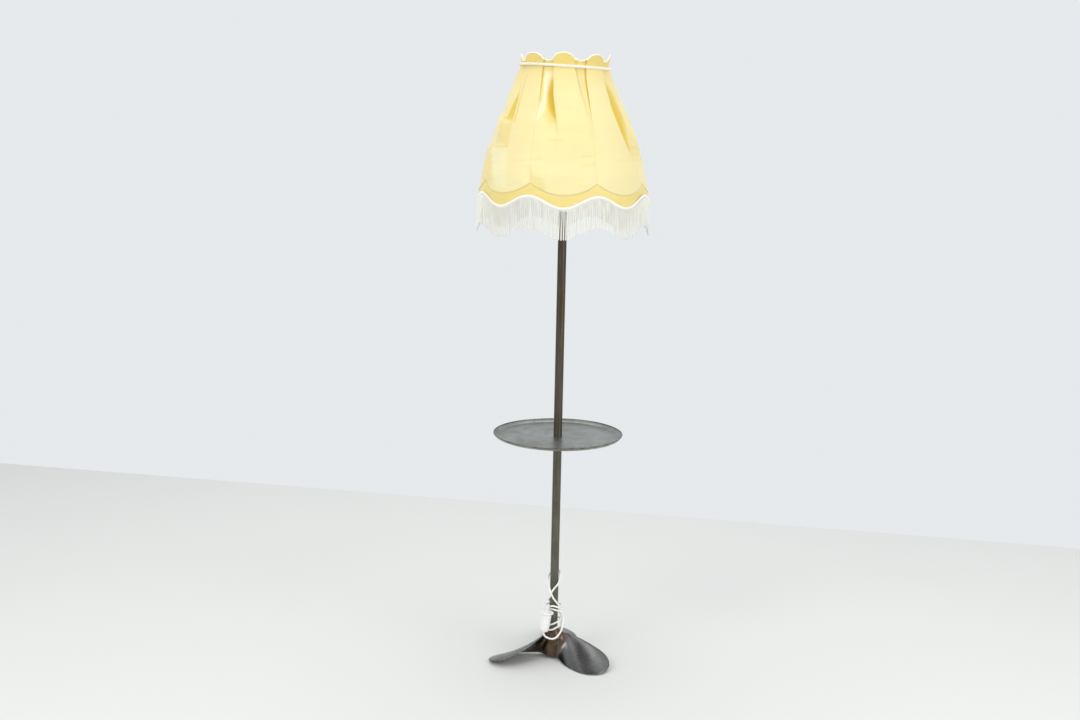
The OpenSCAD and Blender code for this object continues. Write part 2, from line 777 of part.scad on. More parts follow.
// Eight ribs behind the pleats, welded end to end between the rings
rib_rows = 8;
rib_shift = (wire_d - rib_d) / 2;
function rib_r(z) = min(cloth_r(z) - pleat(z, 1), band_r(z)) - wire_in + rib_shift;
module shade_ribs() {
    color("#b8b4a4")
    for (k = [0:panels - 1]) {
        a = panel_turn + (k + 0.5) * sector;
        high = neck_z - wire_d / 2 - weld_gap;
        low = lower_wire_z(a) + wire_d / 2 + weld_gap;
        sweep([for (i = [0:rib_rows]) let (z = mix(high, low, i / rib_rows)) polar(rib_r(z), a, z)],
            rib_d / 2, 6, [cos(a), sin(a), 0]);
    }
}

// Flat ring by which the lampholder carries the shade
ring_r = 27;
fitter_r = ring_r + 1.5;
module shade_fitter() {
    color("#b8b4a4")
    difference() {
        bar(2 * fitter_r, fitter_h, fitter_z);
        bar(2 * (skirt_r + thread_h + run), fitter_h + 2, fitter_z - 1);
    }
}

// Spokes from the fitter's edge out to the ribs, with a crank upwards
spokes = 4;
spoke_rise = 8;
crank_r = 40;
module shade_spokes() {
    low = fitter_z + fitter_h / 2;
    high = low + spoke_rise;
    fitter_side = fitter_r + weld_gap;
    rib_side = rib_r(high) - rib_d / 2 - seat_gap;
    color("#b8b4a4")
    for (k = [0:spokes - 1]) {
        a = panel_turn + (2 * k + 0.5) * sector;
        path = [polar(fitter_side, a, low), polar(fitter_side + 3, a, low), polar(crank_r, a, high),
            polar(rib_side, a, high)];
        sweep(path, rib_d / 2, 8, [0, 0, 1]);
    }
}

// ---------- cord ----------

// Route from the hole to the winding
lead_route = [[0, 13.8, 99], [0, 19, 99], [0, 23.5, 98.8], [-1.5, 28.5, 98.2], [-5.5, 33.5, 97.3],
    [-11, 36.8, 96.3], [-17.5, 37.8, 95.3], [-24, 36, 94.4], [-29.7, 31.8, 93.6],
    [-33.5, 26, 92.9]];
// Winding on the pole: turn in degrees, radius and height at points along it
winding_keys = [
    [75, 36, 91.8], [105, 32, 90], [140, 26.5, 86], [170, 26, 87.5], [200, 26, 94], [237, 26, 100.5],
    [270, 25, 106], [360, 24, 110], [450, 23, 102], [520, 23, 101.5], [551, 23.5, 107],
    [590, 24, 114], [612, 22.5, 121], [640, 19.5, 129.5], [675, 16.6, 140], [720, 15.6, 151],
    [800, 15.4, 170], [844, 15.5, 178], [877, 15.4, 198], [908, 15.4, 211], [947, 15.6, 222],
    [972, 16, 233], [995, 17, 245], [1040, 18.5, 253.5], [1100, 18.5, 250], [1150, 18, 238],
    [1190, 18.5, 225], [1215, 20.3, 211.5], [1235, 21.7, 196], [1257, 21.4, 180],
    [1290, 20, 164.5], [1317, 21, 155.5], [1350, 22, 152], [1440, 22, 152.5], [1530, 22.5, 151],
    [1585, 23, 155], [1614, 23, 158], [1660, 24, 151.5], [1704, 26.5, 138], [1750, 26, 136],
    [1800, 24, 139], [1890, 18.5, 144], [1945, 16, 146], [1975, 18.5, 146.5],
    [2014, 22.5, 143]];
// Route from the winding, in a hanging loop, up to the plug
tail_route = [[21.9, -16.6, 140.6], [24.8, -15.9, 138.2], [26.9, -15.6, 134.2], [28.1, -15.6, 128.8],
    [28.5, -16.6, 121.8], [28.2, -18.9, 114], [27.4, -22.4, 106], [25.8, -26.5, 97.5],
    [22.8, -30.6, 88], [18, -34, 79.5], [11.8, -36.6, 72], [4.8, -38.2, 67],
    [-2.6, -38.8, 65.2], [-9.4, -38.9, 65.9], [-16, -38.6, 68], [-20, -38.1, 70.1],
    [-22.9, -37.6, 72], [-25.2, -37, 74.4], [-26.8, -36.3, 77.2], [-27.7, -35.7, 80]];
plug_at = [-23, -35.5, 116];
plug_lean = 8;
plug_low = 33;
plug_axis = [sin(plug_lean), 0, cos(plug_lean)];
plug_end = plug_at - plug_low * plug_axis;

function key_at(turn, i = 0) =
    i >= len(winding_keys) - 2 || turn < winding_keys[i + 1][0] ? i : key_at(turn, i + 1);
// Tangents of uneven keys are evened by their spans
function key_slope(i, axis) =
    let (last = len(winding_keys) - 1, a = winding_keys[max(i - 1, 0)],
        b = winding_keys[min(i + 1, last)])
    (b[axis] - a[axis]) / (b[0] - a[0]);
function key_value(turn, axis) =
    let (i = key_at(turn), a = winding_keys[i], b = winding_keys[i + 1],
        span = b[0] - a[0], s = (turn - a[0]) / span,
        m0 = key_slope(i, axis) * span, m1 = key_slope(i + 1, axis) * span)
    a[axis] * (1 + 2 * s) * pow(1 - s, 2) + m0 * s * pow(1 - s, 2)
        + b[axis] * s * s * (3 - 2 * s) + m1 * s * s * (s - 1);
turn_step = 15;
turn_first = winding_keys[0][0];
turn_last = winding_keys[len(winding_keys) - 1][0];
turn_count = ceil((turn_last - turn_first) / turn_step);
turns = [for (i = [0:turn_count])
    let (turn = mix(turn_first, turn_last, i / turn_count))
    polar(key_value(turn, 1), 90 + turn, key_value(turn, 2))];
// Both ends of the winding run straight for one diameter
start_way = unit(turns[1] - turns[0]);
end_way = unit(turns[turn_count] - turns[turn_count - 1]);
winding = concat([turns[0] - cord_d * start_way], turns, [turns[turn_count] + cord_d * end_way]);
winding_start = winding[0];
winding_end = winding[turn_count + 2];
// The lead and the tail meet it, and the plug, face to face over a short straight
square_run = 1.5;
lead = concat(lead_route, [winding_start - square_run * start_way, winding_start]);
tail = concat([winding_end, winding_end + square_run * end_way], tail_route,
    [plug_end - square_run * plug_axis, plug_end]);

function path_length(p) = len(p) < 2 ? 0
    : [for (i = 0, sum = 0; i < len(p); i = i + 1,
        sum = sum + (i < len(p) ? norm(p[i] - p[i - 1]) : 0)) sum][len(p) - 1];
// Least gap of the winding to itself, between points more than a third of a turn apart
near = round(120 / turn_step);
winding_gap = min([for (i = [0:turn_count - near], j = [i + near:turn_count])
    norm(turns[i] - turns[j])]) - cord_d;
echo(least_gap_of_the_winding_to_itself = winding_gap);
echo(cord_length = path_length(lead) + path_length(winding) + path_length(tail));

module cord_lead() {
    color("white") sweep(lead, cord_d / 2, 8, [0, 0, 1]);
}

module cord_winding() {
    color("white") sweep(winding, cord_d / 2, 6, [0, 0, 1]);
}

module cord_tail() {
    color("white") sweep(tail, cord_d / 2, 8, [0, 1, 0]);
}

plug_face = 30;
module plug_body() {
    color("white")
    translate(plug_at) rotate([0, plug_lean, 0])
    turned([[0, -plug_low], [3.6, -plug_low], [4.6, -29.5], [10.5, -28.5], [12.6, -26],
        [13.6, -20], [14.2, 0], [14, 20], [14.5, 24], [17.5, 25], [19, 26.5], [19, 29],
        [18, plug_face], [0, plug_face]]);
}

pin_d = 4.8;
pin_gap = 19;
pin_len = 19;
pin_tip = 1.5;
module plug_pins() {
    color("silver")
    translate(plug_at) rotate([0, plug_lean, 0])
    for (side = [-1, 1]) translate([0, side * pin_gap / 2, plug_face]) {
        bar(pin_d, pin_len - pin_tip);
        turned([[0, pin_len - pin_tip], [pin_d / 2, pin_len - pin_tip],
            [pin_d / 2 - pin_tip / 2, pin_len], [0, pin_len]]);
    }
}

propeller();
hub_washer();
hub_nut();
hub_grub_screw();
pole_foot();
pole();
cord_grommet();
tray();
tray_rim();
tray_collar();
tray_rivets();
collar_screw();
top_bush();
nipple();
nipple_nut();
holder_cap();
holder_insert();
holder_contacts();
screw_shell();
holder_shell();
switch_key();
shade_ring();
bulb_cap();
bulb_contact();
bulb_glass();
bulb_filament();
inner_lead();
shade_fitter();
shade_spokes();
shade_ribs();
neck_wire();
lower_wire();
shade_panel(1);  // shade_panel_1
shade_panel(2);  // shade_panel_2
shade_panel(3);  // shade_panel_3
shade_panel(4);  // shade_panel_4
shade_panel(5);  // shade_panel_5
shade_panel(6);  // shade_panel_6
shade_panel(7);  // shade_panel_7
shade_panel(8);  // shade_panel_8
hem_band();
neck_rope();
braid();
fringe();
cord_lead();
cord_winding();
cord_tail();
plug_body();
plug_pins();
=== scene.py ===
"""Looks of the floor lamp with a table: cloth shade, cast foot, cord, finishes, camera and light."""
import math

import bpy
import numpy as np
from mathutils import Matrix, Vector, noise


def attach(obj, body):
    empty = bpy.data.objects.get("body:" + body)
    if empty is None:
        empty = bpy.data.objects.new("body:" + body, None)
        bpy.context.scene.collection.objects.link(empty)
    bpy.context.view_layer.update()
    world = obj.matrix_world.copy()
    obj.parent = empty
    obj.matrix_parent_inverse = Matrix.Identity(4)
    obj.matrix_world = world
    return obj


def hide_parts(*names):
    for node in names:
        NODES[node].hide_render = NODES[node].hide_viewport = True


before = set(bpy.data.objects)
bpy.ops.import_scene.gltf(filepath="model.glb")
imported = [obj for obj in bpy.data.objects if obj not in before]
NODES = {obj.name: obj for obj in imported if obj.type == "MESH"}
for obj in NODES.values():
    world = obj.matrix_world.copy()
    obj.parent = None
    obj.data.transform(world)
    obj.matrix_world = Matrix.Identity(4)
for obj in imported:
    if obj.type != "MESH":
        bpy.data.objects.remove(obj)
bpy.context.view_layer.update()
scene = bpy.context.scene
MM = 0.001
PI = math.pi

# ---------------------------------------------------------------- camera

yaw, pitch, roll = (math.radians(a) for a in (-0.86, 10.277, 1.173))
ahead = Vector((math.sin(yaw) * math.cos(pitch), math.cos(yaw) * math.cos(pitch), -math.sin(pitch)))
right = Vector((math.cos(yaw), -math.sin(yaw), 0))
up = right.cross(ahead)
cam_x = right * math.cos(roll) + up * math.sin(roll)
cam_y = up * math.cos(roll) - right * math.sin(roll)
camera = bpy.data.objects.new("camera", bpy.data.cameras.new("camera"))
camera.data.lens = 44.0
camera.data.sensor_width = 36
camera.matrix_world = Matrix.Translation((0, -3.615, 1.524)) @ Matrix((cam_x, cam_y, -ahead)).transposed().to_4x4()
scene.collection.objects.link(camera)
scene.camera = camera


# ---------------------------------------------------------------- node helpers

def mix(a, b, s):
    return a + (b - a) * s


class Finish:
    """A node material; each helper returns an output socket."""

    def __init__(self, name, colour=(0.5, 0.5, 0.5), rough=0.5, metal=0.0, **sockets):
        self.mat = bpy.data.materials.new(name)
        self.mat.use_nodes = True
        self.mat.diffuse_color = (*colour, 1)
        self.tree = self.mat.node_tree
        self.bsdf = self.tree.nodes["Principled BSDF"]
        self.coord = self.add("ShaderNodeTexCoord").outputs["Object"]
        self.set(**{"Base Color": (*colour, 1), "Roughness": rough, "Metallic": metal})
        self.set(**{k.replace("_", " "): v for k, v in sockets.items()})

    def set(self, **values):
        for key, value in values.items():
            self.plug(self.bsdf.inputs[key], value)
        return self

    def plug(self, socket, value):
        if isinstance(value, bpy.types.NodeSocket):
            self.tree.links.new(value, socket)
        else:
            socket.default_value = value

    def add(self, kind, inputs=(), **settings):
        n = self.tree.nodes.new(kind)
        for key, value in settings.items():
            setattr(n, key, value)
        for key, value in dict(inputs).items():
            self.plug(n.inputs[key], value)
        return n

    def uv(self):
        return self.add("ShaderNodeTexCoord").outputs["UV"]

    def scaled(self, vector, x, y, z=1.0):
        return self.add("ShaderNodeMapping", {"Vector": vector, "Scale": (x, y, z)}).outputs["Vector"]

    def noise(self, scale, detail=3.0, rough=0.55, vector=None, twist=0.0):
        return self.add("ShaderNodeTexNoise", {"Vector": vector or self.coord, "Scale": scale, "Detail": detail,
                                               "Roughness": rough, "Distortion": twist}).outputs["Fac"]

    def wave(self, scale, vector, direction="X", distortion=0.0, detail=0.0, kind="BANDS"):
        side = {"bands_direction": direction} if kind == "BANDS" else {"rings_direction": direction}
        return self.add("ShaderNodeTexWave", {"Vector": vector, "Scale": scale, "Distortion": distortion,
                                              "Detail": detail}, wave_type=kind, **side).outputs["Fac"]

    def math(self, kind, a, b=0.0, c=0.0):
        n = self.add("ShaderNodeMath", operation=kind)
        for socket, value in zip(n.inputs, (a, b, c)):
            self.plug(socket, value)
        return n.outputs[0]

    def span(self, value, low, high, to_low=0.0, to_high=1.0):
        return self.add("ShaderNodeMapRange", {"Value": value, "From Min": low, "From Max": high,
                                               "To Min": to_low, "To Max": to_high}).outputs["Result"]

    def blend(self, fac, a, b, kind="MIX"):
        n = self.add("ShaderNodeMix", data_type="RGBA", blend_type=kind, clamp_factor=True)
        for index, value in ((0, fac), (6, a), (7, b)):
            if isinstance(value, tuple) and len(value) == 3:
                value = (*value, 1)
            self.plug(n.inputs[index], value)
        return n.outputs[2]

    def bump(self, height, distance, strength=1.0, normal=None):
        inputs = {"Height": height, "Distance": distance, "Strength": strength}
        if normal is not None:
            inputs["Normal"] = normal
        return self.add("ShaderNodeBump", inputs).outputs["Normal"]

    def field(self, name):
        return self.add("ShaderNodeAttribute", attribute_name=name).outputs["Fac"]

    def edge(self):
        return self.add("ShaderNodeNewGeometry").outputs["Pointiness"]

    def height(self):
        return self.add("ShaderNodeSeparateXYZ", {"Vector": self.coord}).outputs["Z"]


# ---------------------------------------------------------------- mesh helpers

def put(name, verts, faces, finish=(), smooth=True, picks=None, uvs=None, fields=()):
    """A mesh object; picks gives each face its finish, uvs each vertex its place on the cloth."""
    mesh = bpy.data.meshes.new(name)
    mesh.from_pydata([tuple(v) for v in np.asarray(verts, float)], [], [tuple(int(i) for i in f) for f in faces])
    for f in finish if isinstance(finish, (list, tuple)) else [finish]:
        mesh.materials.append(f.mat)
    if picks is not None:
        mesh.polygons.foreach_set("material_index", np.asarray(picks, np.int32))
    if smooth:
        mesh.polygons.foreach_set("use_smooth", np.ones(len(mesh.polygons), bool))
    if uvs is not None:
        layer = mesh.uv_layers.new(name="cloth")
        loops = np.empty(len(mesh.loops), np.int32)
        mesh.loops.foreach_get("vertex_index", loops)
        layer.data.foreach_set("uv", np.asarray(uvs, np.float32)[loops].ravel())
    for key, values in dict(fields).items():
        mesh.attributes.new(key, "FLOAT", "POINT").data.foreach_set("value", np.asarray(values, np.float32).ravel())
    mesh.update()
    obj = bpy.data.objects.new(name, mesh)
    scene.collection.objects.link(obj)
    return obj


def quads(rows, cols, closed=False, start=0, flip=False):
    """Faces of a grid of rows x cols vertices, with its columns joined round if it is closed."""
    r, c = np.meshgrid(np.arange(rows - 1), np.arange(cols if closed else cols - 1), indexing="ij")
    a = r * cols + c
    b = r * cols + (c + 1) % cols
    faces = np.stack([a, a + cols, b + cols, b], -1).reshape(-1, 4) + start
    return faces[:, ::-1] if flip else faces


def turned(section, steps=96):
    """Vertices and faces of a closed section [radius, height] turned round the axis."""
    section = np.asarray(section, float)
    a = np.linspace(0, 2 * PI, steps, endpoint=False)
    r, z = section[:, :1], section[:, 1:]
    p = np.stack([r * np.cos(a), r * np.sin(a), np.repeat(z, steps, 1)], -1)
    p = np.concatenate([p, p[:1]])
    return p.reshape(-1, 3), quads(len(p), steps, closed=True)


def unit(v):
    return v / np.maximum(np.linalg.norm(v, axis=-1, keepdims=True), 1e-12)


def along(path, closed=False):
    if closed:
        return unit(np.roll(path, -1, 0) - np.roll(path, 1, 0))
    t = np.empty_like(path)
    t[1:-1] = path[2:] - path[:-2]
    t[0], t[-1] = path[1] - path[0], path[-1] - path[-2]
    return unit(t)


def tube(path, radius, sides=8, closed=False, side=None, flat=1.0, cap=True):
    """A tube along a path; side fixes the direction in which flat squeezes it, at each point."""
    path = np.asarray(path, float)
    t = along(path, closed)
    if side is None:
        n = np.empty_like(path)
        first = np.array((0, 0, 1.0)) if abs(t[0][2]) < 0.9 else np.array((1.0, 0, 0))
        n[0] = unit(first - t[0] * first.dot(t[0]))
        for i in range(1, len(path)):
            n[i] = unit(n[i - 1] - t[i] * n[i - 1].dot(t[i]))
    else:
        n = unit(side - t * (side * t).sum(-1, keepdims=True))
    b = np.cross(t, n)
    a = np.linspace(0, 2 * PI, sides, endpoint=False)
    radius = np.broadcast_to(radius, len(path))[:, None, None]
    p = path[:, None] + radius * (flat * np.cos(a)[None, :, None] * n[:, None]
                                  + np.sin(a)[None, :, None] * b[:, None])
    rows = len(path)
    verts = p.reshape(-1, 3)
    if closed:
        faces = list(quads(rows, sides, closed=True))
        last = (rows - 1) * sides
        faces += [(last + j, j, (j + 1) % sides, last + (j + 1) % sides) for j in range(sides)]
        return verts, [tuple(f) for f in faces]
    faces = [tuple(f) for f in quads(rows, sides, closed=True)]
    if cap:
        faces += [tuple(range(sides)), tuple(range(rows * sides - 1, (rows - 1) * sides - 1, -1))]
    return verts, faces


def joined(parts):
    verts, faces, base = [], [], 0
    for v, f in parts:
        verts.append(np.asarray(v))
        faces += [tuple(int(i) + base for i in face) for face in f]
        base += len(v)
    return np.concatenate(verts), faces


def smooth_path(points, step):
    """Even points on a smooth curve through the given ones."""
    p = np.asarray(points, float)
    p = np.concatenate([[2 * p[0] - p[1]], p, [2 * p[-1] - p[-2]]])
    out = []
    for i in range(1, len(p) - 2):
        a, b, c, d = p[i - 1:i + 3]
        knots = np.cumsum([0, *(np.linalg.norm(v) ** 0.5 for v in (b - a, c - b, d - c))])
        for t in np.linspace(knots[1], knots[2], 9)[:-1]:
            ab = mix(a, b, (t - knots[0]) / (knots[1] - knots[0]))
            bc = mix(b, c, (t - knots[1]) / (knots[2] - knots[1]))
            cd = mix(c, d, (t - knots[2]) / (knots[3] - knots[2]))
            abc = mix(ab, bc, (t - knots[0]) / (knots[2] - knots[0]))
            bcd = mix(bc, cd, (t - knots[1]) / (knots[3] - knots[1]))
            out.append(mix(abc, bcd, (t - knots[1]) / (knots[2] - knots[1])))
    out = np.array(out + [p[-2]])
    way = np.concatenate([[0], np.cumsum(np.linalg.norm(np.diff(out, axis=0), axis=1))])
    at = np.linspace(0, way[-1], max(2, round(way[-1] / step) + 1))
    return np.stack([np.interp(at, way, out[:, k]) for k in range(3)], -1)


def ripple(points, scale, seed=0.0):
    """Smooth noise from -1 to 1 at each point."""
    flat = np.asarray(points, float).reshape(-1, 3) * scale + seed
    return np.array([noise.noise(Vector(p)) for p in flat]).reshape(np.shape(points)[:-1])


# ---------------------------------------------------------------- cord route, as in the part's source

lead_route = [[0, 13.8, 99], [0, 19, 99], [0, 23.5, 98.8], [-1.5, 28.5, 98.2], [-5.5, 33.5, 97.3],
              [-11, 36.8, 96.3], [-17.5, 37.8, 95.3], [-24, 36, 94.4], [-29.7, 31.8, 93.6], [-33.5, 26, 92.9]]
winding_keys = np.array([
    [75, 36, 91.8], [105, 32, 90], [140, 26.5, 86], [170, 26, 87.5], [200, 26, 94], [237, 26, 100.5],
    [270, 25, 106], [360, 24, 110], [450, 23, 102], [520, 23, 101.5], [551, 23.5, 107],
    [590, 24, 114], [612, 22.5, 121], [640, 19.5, 129.5], [675, 16.6, 140], [720, 15.6, 151],
    [800, 15.4, 170], [844, 15.5, 178], [877, 15.4, 198], [908, 15.4, 211], [947, 15.6, 222],
    [972, 16, 233], [995, 17, 245], [1040, 18.5, 253.5], [1100, 18.5, 250], [1150, 18, 238],
    [1190, 18.5, 225], [1215, 20.3, 211.5], [1235, 21.7, 196], [1257, 21.4, 180],
    [1290, 20, 164.5], [1317, 21, 155.5], [1350, 22, 152], [1440, 22, 152.5], [1530, 22.5, 151],
    [1585, 23, 155], [1614, 23, 158], [1660, 24, 151.5], [1704, 26.5, 138], [1750, 26, 136],
    [1800, 24, 139], [1890, 18.5, 144], [1945, 16, 146], [1975, 18.5, 146.5], [2014, 22.5, 143]], float)
tail_route = [[21.9, -16.6, 140.6], [24.8, -15.9, 138.2], [26.9, -15.6, 134.2], [28.1, -15.6, 128.8],
              [28.5, -16.6, 121.8], [28.2, -18.9, 114], [27.4, -22.4, 106], [25.8, -26.5, 97.5],
              [22.8, -30.6, 88], [18, -34, 79.5], [11.8, -36.6, 72], [4.8, -38.2, 67],
              [-2.6, -38.8, 65.2], [-9.4, -38.9, 65.9], [-16, -38.6, 68], [-20, -38.1, 70.1],
              [-22.9, -37.6, 72], [-25.2, -37, 74.4], [-26.8, -36.3, 77.2], [-27.7, -35.7, 80]]
plug_at = np.array([-23, -35.5, 116])
lean = math.radians(8)
plug_axis = np.array([math.sin(lean), 0, math.cos(lean)])
plug_end = plug_at - 33 * plug_axis
cord_d = 5.4


def winding_points():
    turn = winding_keys[:, 0]
    slopes = [(winding_keys[min(i + 1, len(turn) - 1)] - winding_keys[max(i - 1, 0)]) for i in range(len(turn))]
    slopes = np.array([s / s[0] for s in slopes])
    points = []
    for a in np.linspace(turn[0], turn[-1], 131):
        i = min(int(np.searchsorted(turn, a, "right")) - 1, len(turn) - 2)
        span = turn[i + 1] - turn[i]
        s = (a - turn[i]) / span
        r, z = (winding_keys[i][1:] * (1 + 2 * s) * (1 - s) ** 2 + slopes[i][1:] * span * s * (1 - s) ** 2
                + winding_keys[i + 1][1:] * s * s * (3 - 2 * s) + slopes[i + 1][1:] * span * s * s * (s - 1))
        points.append([r * math.cos(math.radians(90 + a)), r * math.sin(math.radians(90 + a)), z])
    return np.array(points)


turns = winding_points()
route = smooth_path(np.concatenate([lead_route, turns, tail_route, [plug_end]]), 1.2) * MM
line = bpy.data.curves.new("cord", "CURVE")
line.dimensions = "3D"
line.bevel_depth = cord_d / 2 * MM
line.bevel_resolution = 4
line.use_fill_caps = True
spline = line.splines.new("POLY")
spline.points.add(len(route) - 1)
spline.points.foreach_set("co", np.column_stack([route, np.ones(len(route))]).ravel())
spline.use_smooth = True
cord = bpy.data.objects.new("cord", line)
scene.collection.objects.link(cord)

cord_skin = Finish("cord_skin", (0.95, 0.95, 0.93), 0.38, Specular_IOR_Level=0.5)
cord_skin.set(**{"Base Color": cord_skin.blend(cord_skin.span(cord_skin.noise(60, 4), 0.45, 0.75), (0.96, 0.96, 0.94),
                                               (0.86, 0.85, 0.81)),
                 "Normal": cord_skin.bump(cord_skin.noise(900, 3), 0.00008, 0.6)})
line.materials.append(cord_skin.mat)


# ---------------------------------------------------------------- finishes

bronze = Finish("propeller_bronze", (0.12, 0.11, 0.10), 0.42, 1.0)
f = bronze
across = f.add("ShaderNodeVectorMath", {"Vector": f.scaled(f.coord, 1, 1, 0)}, operation="LENGTH").outputs["Value"]
facing = f.add("ShaderNodeSeparateXYZ", {"Vector": f.add("ShaderNodeNewGeometry").outputs["Normal"]}).outputs["Z"]
cloudy = f.noise(14, 3, 0.5, twist=0.4)
worn = f.math("MULTIPLY", f.span(f.edge(), 0.515, 0.56), f.span(f.noise(120, 3), 0.35, 0.7))
grey = f.blend(f.span(cloudy, 0.3, 0.75), (0.10, 0.10, 0.099), (0.165, 0.164, 0.16))
brown = f.blend(f.span(f.noise(40, 5, 0.65), 0.4, 0.65), (0.125, 0.088, 0.058), (0.075, 0.054, 0.038))
# The hub is dark and brown; the blades' undersides, which face the floor, get the same dark brown as painted shade,
# and the blades' faces are rubbed to grey
hub_brown_and_underside_shade = f.math("MAXIMUM", f.span(f.math("ADD", across, f.span(cloudy, 0.3, 0.7, -0.006, 0.006)), 0.052, 0.036),
              f.span(facing, 0.05, -0.25, 0.0, 0.8))
f.set(**{"Base Color": f.blend(worn, f.blend(hub_brown_and_underside_shade, grey, brown), (0.30, 0.30, 0.29)),
         "Roughness": f.span(f.noise(30, 3, 0.6), 0.3, 0.75, 0.22, 0.33),
         "Normal": f.bump(f.noise(34, 3, 0.5), 0.0007, 0.3, f.bump(f.noise(420, 3), 0.00005, 0.2))})

pole_steel = Finish("pole_steel", (0.10, 0.085, 0.06), 0.4, 1.0)
f = pole_steel
drawn = f.noise(1, 3, 0.6, f.scaled(f.coord, 900, 900, 9))
rise = f.span(f.height(), 0.35, 1.0)
tone = f.blend(rise, (0.15, 0.145, 0.12), (0.085, 0.066, 0.042))
tone = f.blend(f.math("MULTIPLY", f.span(f.noise(30, 5, 0.65, f.scaled(f.coord, 1, 1, 0.35)), 0.45, 0.7), 0.7), tone,
               (0.06, 0.05, 0.038))
f.set(**{"Base Color": f.blend(f.span(drawn, 0.5, 0.8), tone, (0.2, 0.18, 0.15)),
         "Roughness": f.span(drawn, 0.3, 0.7, 0.3, 0.48),
         "Normal": f.bump(drawn, 0.00006, 0.5, f.bump(f.noise(25, 2), 0.0008, 0.25))})

tray_steel = Finish("tray_steel", (0.27, 0.28, 0.27), 0.36, 1.0)
f = tray_steel
spin = f.wave(260, f.coord, "Z", 2.0, 2.0, "RINGS")
blotch = f.span(f.noise(14, 6, 0.65, twist=0.6), 0.4, 0.7)
scratch = f.span(f.noise(1, 1, 0.4, f.scaled(f.coord, 520, 9, 1), 1.5), 0.66, 0.72)
nick = f.span(f.noise(1, 1, 0.4, f.scaled(f.coord, 12, 460, 1), 1.2), 0.68, 0.73)
marks = f.math("MULTIPLY", f.math("MAXIMUM", scratch, nick), f.span(f.noise(11, 2), 0.5, 0.6))
grey = f.blend(blotch, (0.31, 0.325, 0.31), (0.215, 0.22, 0.205))
grey = f.blend(f.span(f.noise(95, 4, 0.7), 0.62, 0.78), grey, (0.13, 0.115, 0.09))
f.set(**{"Base Color": f.blend(marks, grey, (0.5, 0.5, 0.48)),
         "Roughness": f.span(blotch, 0, 1, 0.34, 0.46),
         "Normal": f.bump(spin, 0.00003, 0.35, f.bump(f.noise(16, 2), 0.0012, 0.3))})

rim_steel = Finish("tray_rim_steel", (0.2, 0.19, 0.15), 0.33, 1.0)
f = rim_steel
f.set(**{"Base Color": f.blend(f.span(f.noise(60, 5, 0.7), 0.4, 0.66), (0.23, 0.215, 0.165), (0.10, 0.095, 0.075)),
         "Roughness": f.span(f.noise(90, 4), 0.3, 0.7, 0.25, 0.42),
         "Normal": f.bump(f.noise(70, 4), 0.0003, 0.4)})


def metal(name, colour, dark, rough, grain=260, brushed=(1, 1, 1)):
    f = Finish(name, colour, rough, 1.0)
    g = f.noise(grain, 4, 0.6, f.scaled(f.coord, *brushed))
    c = f.blend(f.span(f.noise(55, 5, 0.65), 0.45, 0.72), colour, dark)
    c = f.blend(f.span(f.edge(), 0.52, 0.58), c, tuple(min(1, x * 1.35) for x in colour))
    return f.set(**{"Base Color": c, "Roughness": f.span(g, 0.3, 0.7, rough - 0.08, rough + 0.1),
                    "Normal": f.bump(g, 0.00006, 0.5)})


zinc = metal("zinc_steel", (0.56, 0.56, 0.55), (0.34, 0.33, 0.31), 0.36)
collar = metal("collar_steel", (0.13, 0.125, 0.11), (0.065, 0.06, 0.05), 0.42, 200)
brass = metal("fitting_brass", (0.72, 0.52, 0.24), (0.42, 0.29, 0.13), 0.3, 300)
bulb_metal = metal("bulb_metal", (0.72, 0.72, 0.70), (0.5, 0.48, 0.44), 0.28, 400)
plug_metal = metal("plug_metal", (0.86, 0.86, 0.84), (0.66, 0.65, 0.62), 0.24, 500, (1, 1, 0.1))


def moulded(name, colour, tint, rough, grain=700, depth=0.00004, **sockets):
    f = Finish(name, colour, rough, 0.0, **sockets)
    c = f.blend(f.span(f.noise(40, 5, 0.6), 0.45, 0.72), colour, tint)
    return f.set(**{"Base Color": c, "Roughness": f.span(f.noise(130, 4), 0.3, 0.7, rough - 0.06, rough + 0.08),
                    "Normal": f.bump(f.noise(grain, 3), depth, 0.6)})


bakelite = moulded("holder_plastic", (0.035, 0.025, 0.02), (0.06, 0.042, 0.03), 0.3)
porcelain = moulded("porcelain", (0.86, 0.85, 0.81), (0.74, 0.72, 0.66), 0.18, 150, 0.00005, Coat_Weight=0.5)
rubber = moulded("grommet_rubber", (0.78, 0.77, 0.72), (0.6, 0.58, 0.52), 0.55)
plug_plastic = moulded("plug_white", (0.96, 0.96, 0.945), (0.9, 0.9, 0.87), 0.34, 900, 0.00004, Coat_Weight=0.15)
frame_wire = moulded("frame_wire", (0.80, 0.79, 0.74), (0.55, 0.5, 0.42), 0.45, 500, 0.00012)
filament = metal("bulb_inside", (0.5, 0.49, 0.47), (0.3, 0.3, 0.3), 0.35)

opal = Finish("bulb_glass", (0.93, 0.93, 0.92), 0.12, 0.0, Transmission_Weight=0.25, Coat_Weight=0.4)
opal.set(**{"Base Color": opal.blend(opal.span(opal.noise(30, 3), 0.4, 0.7), (0.94, 0.94, 0.93), (0.89, 0.89, 0.87)),
            "Normal": opal.bump(opal.noise(30, 2), 0.00015, 0.3)})


